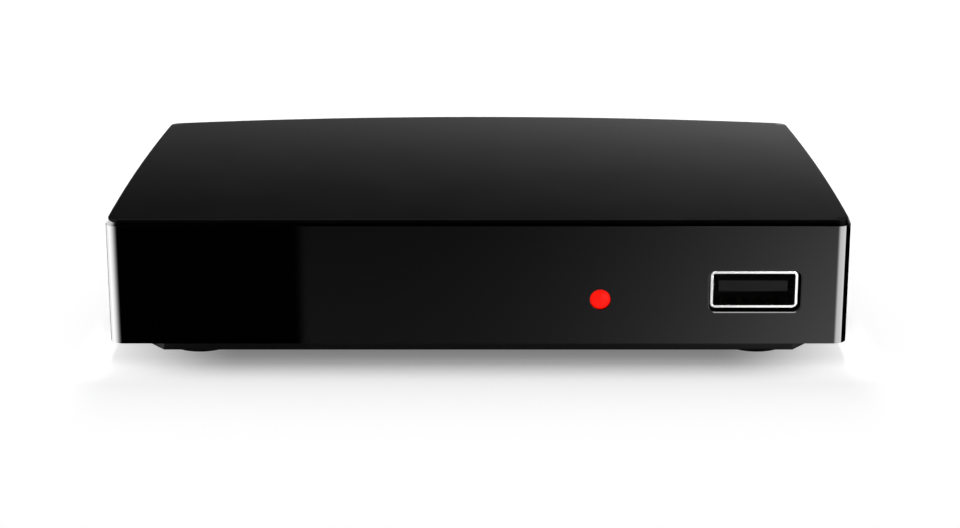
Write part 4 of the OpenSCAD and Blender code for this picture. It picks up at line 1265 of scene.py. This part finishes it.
@dataclass(frozen=True)
class Studio:
    """Camera, floor, soft light, and the cards that the gloss front mirrors."""

    plan: CasePlan = CasePlan()
    eye: Triple = (0.27, -339.47, 98.68)
    pitch: float = 74.5
    lens: float = 78.34
    sensor: float = 36.0
    clip: Pair = (0.01, 50.0)
    floor_side: Grid = (-4000.0, 4000.0, 3)
    floor_drop: float = 0.02
    floor_share: float = 0.8
    floor_reach: Pair = (90.0, 500.0)
    floor_far: float = 0.68
    # painted light: where, and how strongly, camera rays see extra glow on the floor under the front corners,
    # lightening the shadow's ends
    painted_light_span: Marks = (36.0, 57.0, 55.5, 62.0)
    painted_light_depths: Marks = (-50.0, -39.0, -29.0, -12.0)
    painted_light_lift: float = 0.49
    front_across: Grid = (-95.0, 80.0, 176)
    front_depths: tuple[Grid, ...] = ((-3900.0, -200.0, 20), (-190.0, -42.0, 60))
    front_edge: Pair = (-27.4, -25.6)
    front_rise: Marks = (0.18, 1.3, -27.0, 80.0)
    front_fall: Marks = (1.2, 0.4, 3.0, 18.0)
    fall_most: float = 1.5
    far_across: Grid = (46.0, 86.0, 40)
    far_depths: Marks = (-300.0, -280.0, -170.0, -155.0)
    far_steps: int = 40
    far_peak: float = 14.0
    corner_steps: int = 120
    corner_cards: tuple[CornerCard, ...] = (
        CornerCard("left_card", Side.LEFT, reach=6.2, rise=(CARD_LIFT, 21.1), span=(15, 123), peak=20.0,
                   up=(19, 63), off=(106, 123), drop=0.7, down=(67.5, 107.5)),
        CornerCard("shoulder_card", Side.LEFT, reach=3.0, rise=(21.2, 22.1), span=(18, 120), peak=14.0,
                   up=(20, 50), off=(120, 121), drop=0.6, down=(50, 90)),
        CornerCard("right_card", Side.RIGHT, reach=6.2, rise=(CARD_LIFT, 20.3), span=(9.5, 140), peak=16.0,
                   up=(10, 32), off=(64.5, 68), least=1.55))
    sky: float = 0.336
    glow_mark: float = 0.2215
    glow_level: float = 0.0164
    glow_fade: float = 0.0104
    glow_most: float = 0.432
    bank_turn: float = 25.9
    bank_fade: float = 0.066
    bank_floor: float = 0.362
    bank_most: float = 8.45
    over_glow: float = 0.48
    over_rise: Pair = (0.3, 0.6)
    ahead_glow: float = 0.16
    ahead_end: Pair = (-0.35, -0.05)
    gap_rise: Marks = (0.32, 0.42, 0.66, 0.78)
    gap_side: Pair = (0.35, 0.5)
    lamp_height: float = 900.0
    lamp_width: float = 240.0
    strips: tuple[Strip, ...] = (Strip("near_strip", 0.0, 330.0, 0.45),
                                 Strip("far_strip", 330.0, 1900.0, 0.15))

    def camera(self) -> None:
        """Sets the camera at the picture's viewing angle."""
        data = bpy.data.cameras.new("studio_camera")
        data.lens = self.lens
        data.sensor_width = self.sensor
        data.clip_start, data.clip_end = self.clip
        view = bpy.data.objects.new("studio_camera", data)
        view.location = tuple(part * MM for part in self.eye)
        view.rotation_euler = (np.radians(self.pitch), 0.0, 0.0)
        bpy.context.scene.collection.objects.link(view)
        bpy.context.scene.camera = view

    def staged(self, name: str, rows: np.ndarray, material: bpy.types.Material) -> bpy.types.Object:
        """Makes a sheet of the stage from a grid of points.

        Args:
            name: the sheet's name.
            rows: points as an array of rows, columns and coordinates.
            material: its material.

        Returns:
            The new object.
        """
        stage = laid(name, skin(rows), material)
        return stage

    def floor(self) -> None:
        """A white floor: its shade comes from the light, and camera rays see its open part as white.

        The share that camera rays add grows with the distance from the box, as the lamps' light fades there.
        Under the front corners it is painted light, a patch of extra glow that lightens the ends of the
        shadow.
        """
        material = bpy.data.materials.new("floor_paper")
        graph = Graph(material)
        place = graph.add("ShaderNodeTexCoord").outputs["Object"]
        distance = graph.add("ShaderNodeVectorMath", {0: place}, operation="LENGTH").outputs["Value"]
        near, far = self.floor_reach
        shade = self.floor_share
        wide = graph.stepped(distance, near * MM, far * MM, 1 - shade, self.floor_far)
        spot = graph.add("ShaderNodeSeparateXYZ", {0: place}).outputs
        # painted light: a patch of extra camera-ray glow under each front corner, which lightens the ends of
        # the shadow
        ends = graph.product(graph.hump(graph.joined("ABSOLUTE", spot["X"]), self.painted_light_span, MM),
                             graph.hump(spot["Y"], self.painted_light_depths, MM), self.painted_light_lift)
        seen = graph.add("ShaderNodeLightPath").outputs["Is Camera Ray"]
        paper = graph.add("ShaderNodeBsdfDiffuse", {"Color": (shade, shade, shade, 1)})
        strength = graph.product(seen, graph.joined("ADD", wide, ends))
        lift = graph.add("ShaderNodeEmission", {"Strength": strength})
        both = graph.add("ShaderNodeAddShader", {0: paper.outputs[0], 1: lift.outputs[0]})
        graph.add("ShaderNodeOutputMaterial", {"Surface": both.outputs[0]})
        side = np.linspace(*self.floor_side)
        x, y = np.meshgrid(side, side)
        self.staged("floor", np.stack([x, y, np.full_like(x, -self.floor_drop)], axis=-1), material)

    def card(self, name: str, x: np.ndarray, y: np.ndarray, z: np.ndarray | float, glow: np.ndarray) -> None:
        """A card that only mirrors see, with its own glow at each point.

        Args:
            name: the card's name.
            x: sideways places of its grid.
            y: depths of its grid.
            z: heights of its grid, or one height for all of it.
            glow: glow at each point of the grid.
        """
        material = bpy.data.materials.get("card_glow") or self.card_material()
        stage = self.staged(name, np.stack([x, y, np.broadcast_to(z, x.shape)], axis=-1), material)
        level = stage.data.attributes.new("glow", "FLOAT", "POINT")
        level.data.foreach_set("value", glow.reshape(-1).astype(np.float32))
        stage.visible_camera = False
        stage.visible_diffuse = False
        stage.visible_transmission = False
        stage.visible_volume_scatter = False
        stage.visible_shadow = False

    @staticmethod
    def card_material() -> bpy.types.Material:
        """A plain glow read from the card's points.

        Returns:
            The material.
        """
        material = bpy.data.materials.new("card_glow")
        graph = Graph(material)
        material.cycles.emission_sampling = "NONE"
        level = graph.add("ShaderNodeAttribute", attribute_name="glow").outputs["Fac"]
        glow = graph.add("ShaderNodeEmission", {"Strength": level})
        graph.add("ShaderNodeOutputMaterial", {"Surface": glow.outputs[0]})
        return material

    def front_card(self) -> None:
        """The card that the flat front mirrors: dark on the left, past a soft edge brighter to the right.

        Seen from the eye, the front's point (x, z) mirrors the floor at x' = ex + (x - ex) t and
        y' = 2 f - ey - (f - ey) t with t = ez / (ez - z), so each point of the card finds its x and z back.
        """
        ex, ey, ez = self.eye
        f = self.plan.front
        depth = np.concatenate([np.linspace(*part) for part in self.front_depths])
        x, y = np.meshgrid(np.linspace(*self.front_across), depth)
        t = (2 * f - ey - y) / (f - ey)
        seen_x = ex + (x - ex) / t
        seen_z = ez * (1 - 1 / t)
        least, more, start, width = self.front_rise
        rise = least + more * np.clip((seen_x - start) / width, 0, None) ** 3
        most, less, low, height = self.front_fall
        fall = most - less * np.clip((seen_z - low) / height, 0, self.fall_most)
        self.card("front_card", x, y, CARD_LIFT, rise * fall * smooth_step(seen_x, *self.front_edge))

    def far_card(self) -> None:
        """A bright card on the floor, too far ahead for the flat front to mirror, but not for a bevel."""
        start, full, least, end = self.far_depths
        x, y = np.meshgrid(np.linspace(*self.far_across), np.linspace(start, end, self.far_steps))
        glow = smooth_step(y, start, full) * (1 - smooth_step(y, least, end))
        self.card("far_card", x, y, 2 * CARD_LIFT, self.far_peak * glow)

    def corner_card(self, card: CornerCard) -> None:
        """Bends a card round its corner: centre + r (sin w, -cos w) by its direction w, upright.

        Args:
            card: the card.
        """
        centre = self.plan.corner_centre(0, self.plan.front_corner)
        way, z = np.meshgrid(np.linspace(*card.span, self.corner_steps), np.array(card.rise))
        x = card.side.value * (centre[0] + card.reach * np.sin(np.radians(way)))
        y = centre[1] - card.reach * np.cos(np.radians(way))
        self.card(card.name, x, y, z, card.glow(way))

    def light(self) -> None:
        """White sky for diffuse and camera rays, a glow for mirrors, and strip lamps above.

        A mirror that looks along (x, y, z) sees three glows. The low one, c exp((m - z) / f) up to a most,
        grows towards a bank by b + (1 - b) exp((cos u - cos v) / g), where u is the angle from the bank's
        middle and v the bank's own turn from the rear. The one above is level, and so is the one ahead, but
        for a dark gap in it.
        """
        world = bpy.data.worlds.new("studio")
        bpy.context.scene.world = world
        graph = Graph(world)
        world.cycles.sampling_method = "NONE"
        way = graph.add("ShaderNodeTexCoord").outputs["Object"]
        x, y, z = graph.add("ShaderNodeSeparateXYZ", {0: way}).outputs
        rise = graph.joined("DIVIDE", graph.joined("SUBTRACT", self.glow_mark, z), self.glow_fade)
        low = graph.product(graph.joined("EXPONENT", rise), self.glow_level)
        low = graph.joined("MINIMUM", low, self.glow_most)
        across, along = float(np.sin(np.radians(self.bank_turn))), float(np.cos(np.radians(self.bank_turn)))
        facing = graph.joined("ADD", graph.product(x, across), graph.product(y, along))
        bank = graph.joined("DIVIDE", graph.joined("SUBTRACT", facing, along), self.bank_fade)
        bank = graph.joined("MINIMUM", graph.joined("EXPONENT", bank), self.bank_most)
        side = graph.joined("ADD", graph.product(bank, 1 - self.bank_floor), self.bank_floor)
        over = graph.product(graph.stepped(z, *self.over_rise, 0.0, self.over_glow),
                             graph.stepped(y, *self.ahead_end, 0.0, 1.0))
        gap = graph.product(graph.hump(z, self.gap_rise),
                            graph.stepped(graph.joined("ABSOLUTE", x), *self.gap_side, 1.0, 0.0))
        ahead = graph.product(graph.stepped(y, *self.ahead_end, self.ahead_glow, 0.0),
                              graph.joined("SUBTRACT", 1.0, gap))
        mirrored = graph.joined("ADD", graph.joined("ADD", graph.product(low, side), over), ahead)
        path = graph.add("ShaderNodeLightPath").outputs
        plain = graph.joined("MAXIMUM", path["Is Camera Ray"], self.sky)
        strength = graph.add("ShaderNodeMix", {"Factor": path["Is Glossy Ray"], "A": plain, "B": mirrored})
        sockets = {"Color": (1, 1, 1, 1), "Strength": strength.outputs["Result"]}
        back = graph.add("ShaderNodeBackground", sockets)
        graph.add("ShaderNodeOutputWorld", {"Surface": back.outputs[0]})

    def lamp(self, strip: Strip) -> None:
        """Hangs a level strip lamp over the box.

        A strip of width w at height h gives the floor under its start w L / 2 h (a + sin a cos a), taken
        between the slants a of its ends, and with L = P / 4 w l that sets its power P for a share of plain
        light.

        Args:
            strip: the lamp.
        """
        slant = np.arctan2([strip.start, strip.end], self.lamp_height)
        reach = np.diff(slant + np.sin(slant) * np.cos(slant))[0] / 2
        radiance = strip.share * np.pi * self.lamp_height / (self.lamp_width * reach)
        data = bpy.data.lights.new(strip.name, "AREA")
        data.shape = "RECTANGLE"
        data.size = self.lamp_width * MM
        data.size_y = (strip.end - strip.start) * MM
        data.energy = radiance * 4 * data.size * data.size_y
        lamp = bpy.data.objects.new(strip.name, data)
        lamp.location = (0.0, (strip.start + strip.end) / 2 * MM, self.lamp_height * MM)
        lamp.visible_glossy = False
        bpy.context.scene.collection.objects.link(lamp)

    def build(self) -> None:
        """Sets up the studio."""
        bpy.context.scene.view_settings.view_transform = "Standard"
        self.camera()
        self.floor()
        self.front_card()
        self.far_card()
        for card in self.corner_cards:
            self.corner_card(card)
        self.light()
        for strip in self.strips:
            self.lamp(strip)
        LOG.info("studio set")


def main() -> None:
    """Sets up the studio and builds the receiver's sub-assemblies in order."""
    logging.basicConfig(level=logging.INFO, format="%(name)s: %(message)s")
    parts = (Studio(), Base(), TopCover(), FrontFascia(), UsbSocket(), StatusLamp(), RearSockets(), Board())
    for part in parts:
        part.build()


if __name__ == "__main__":
    main()
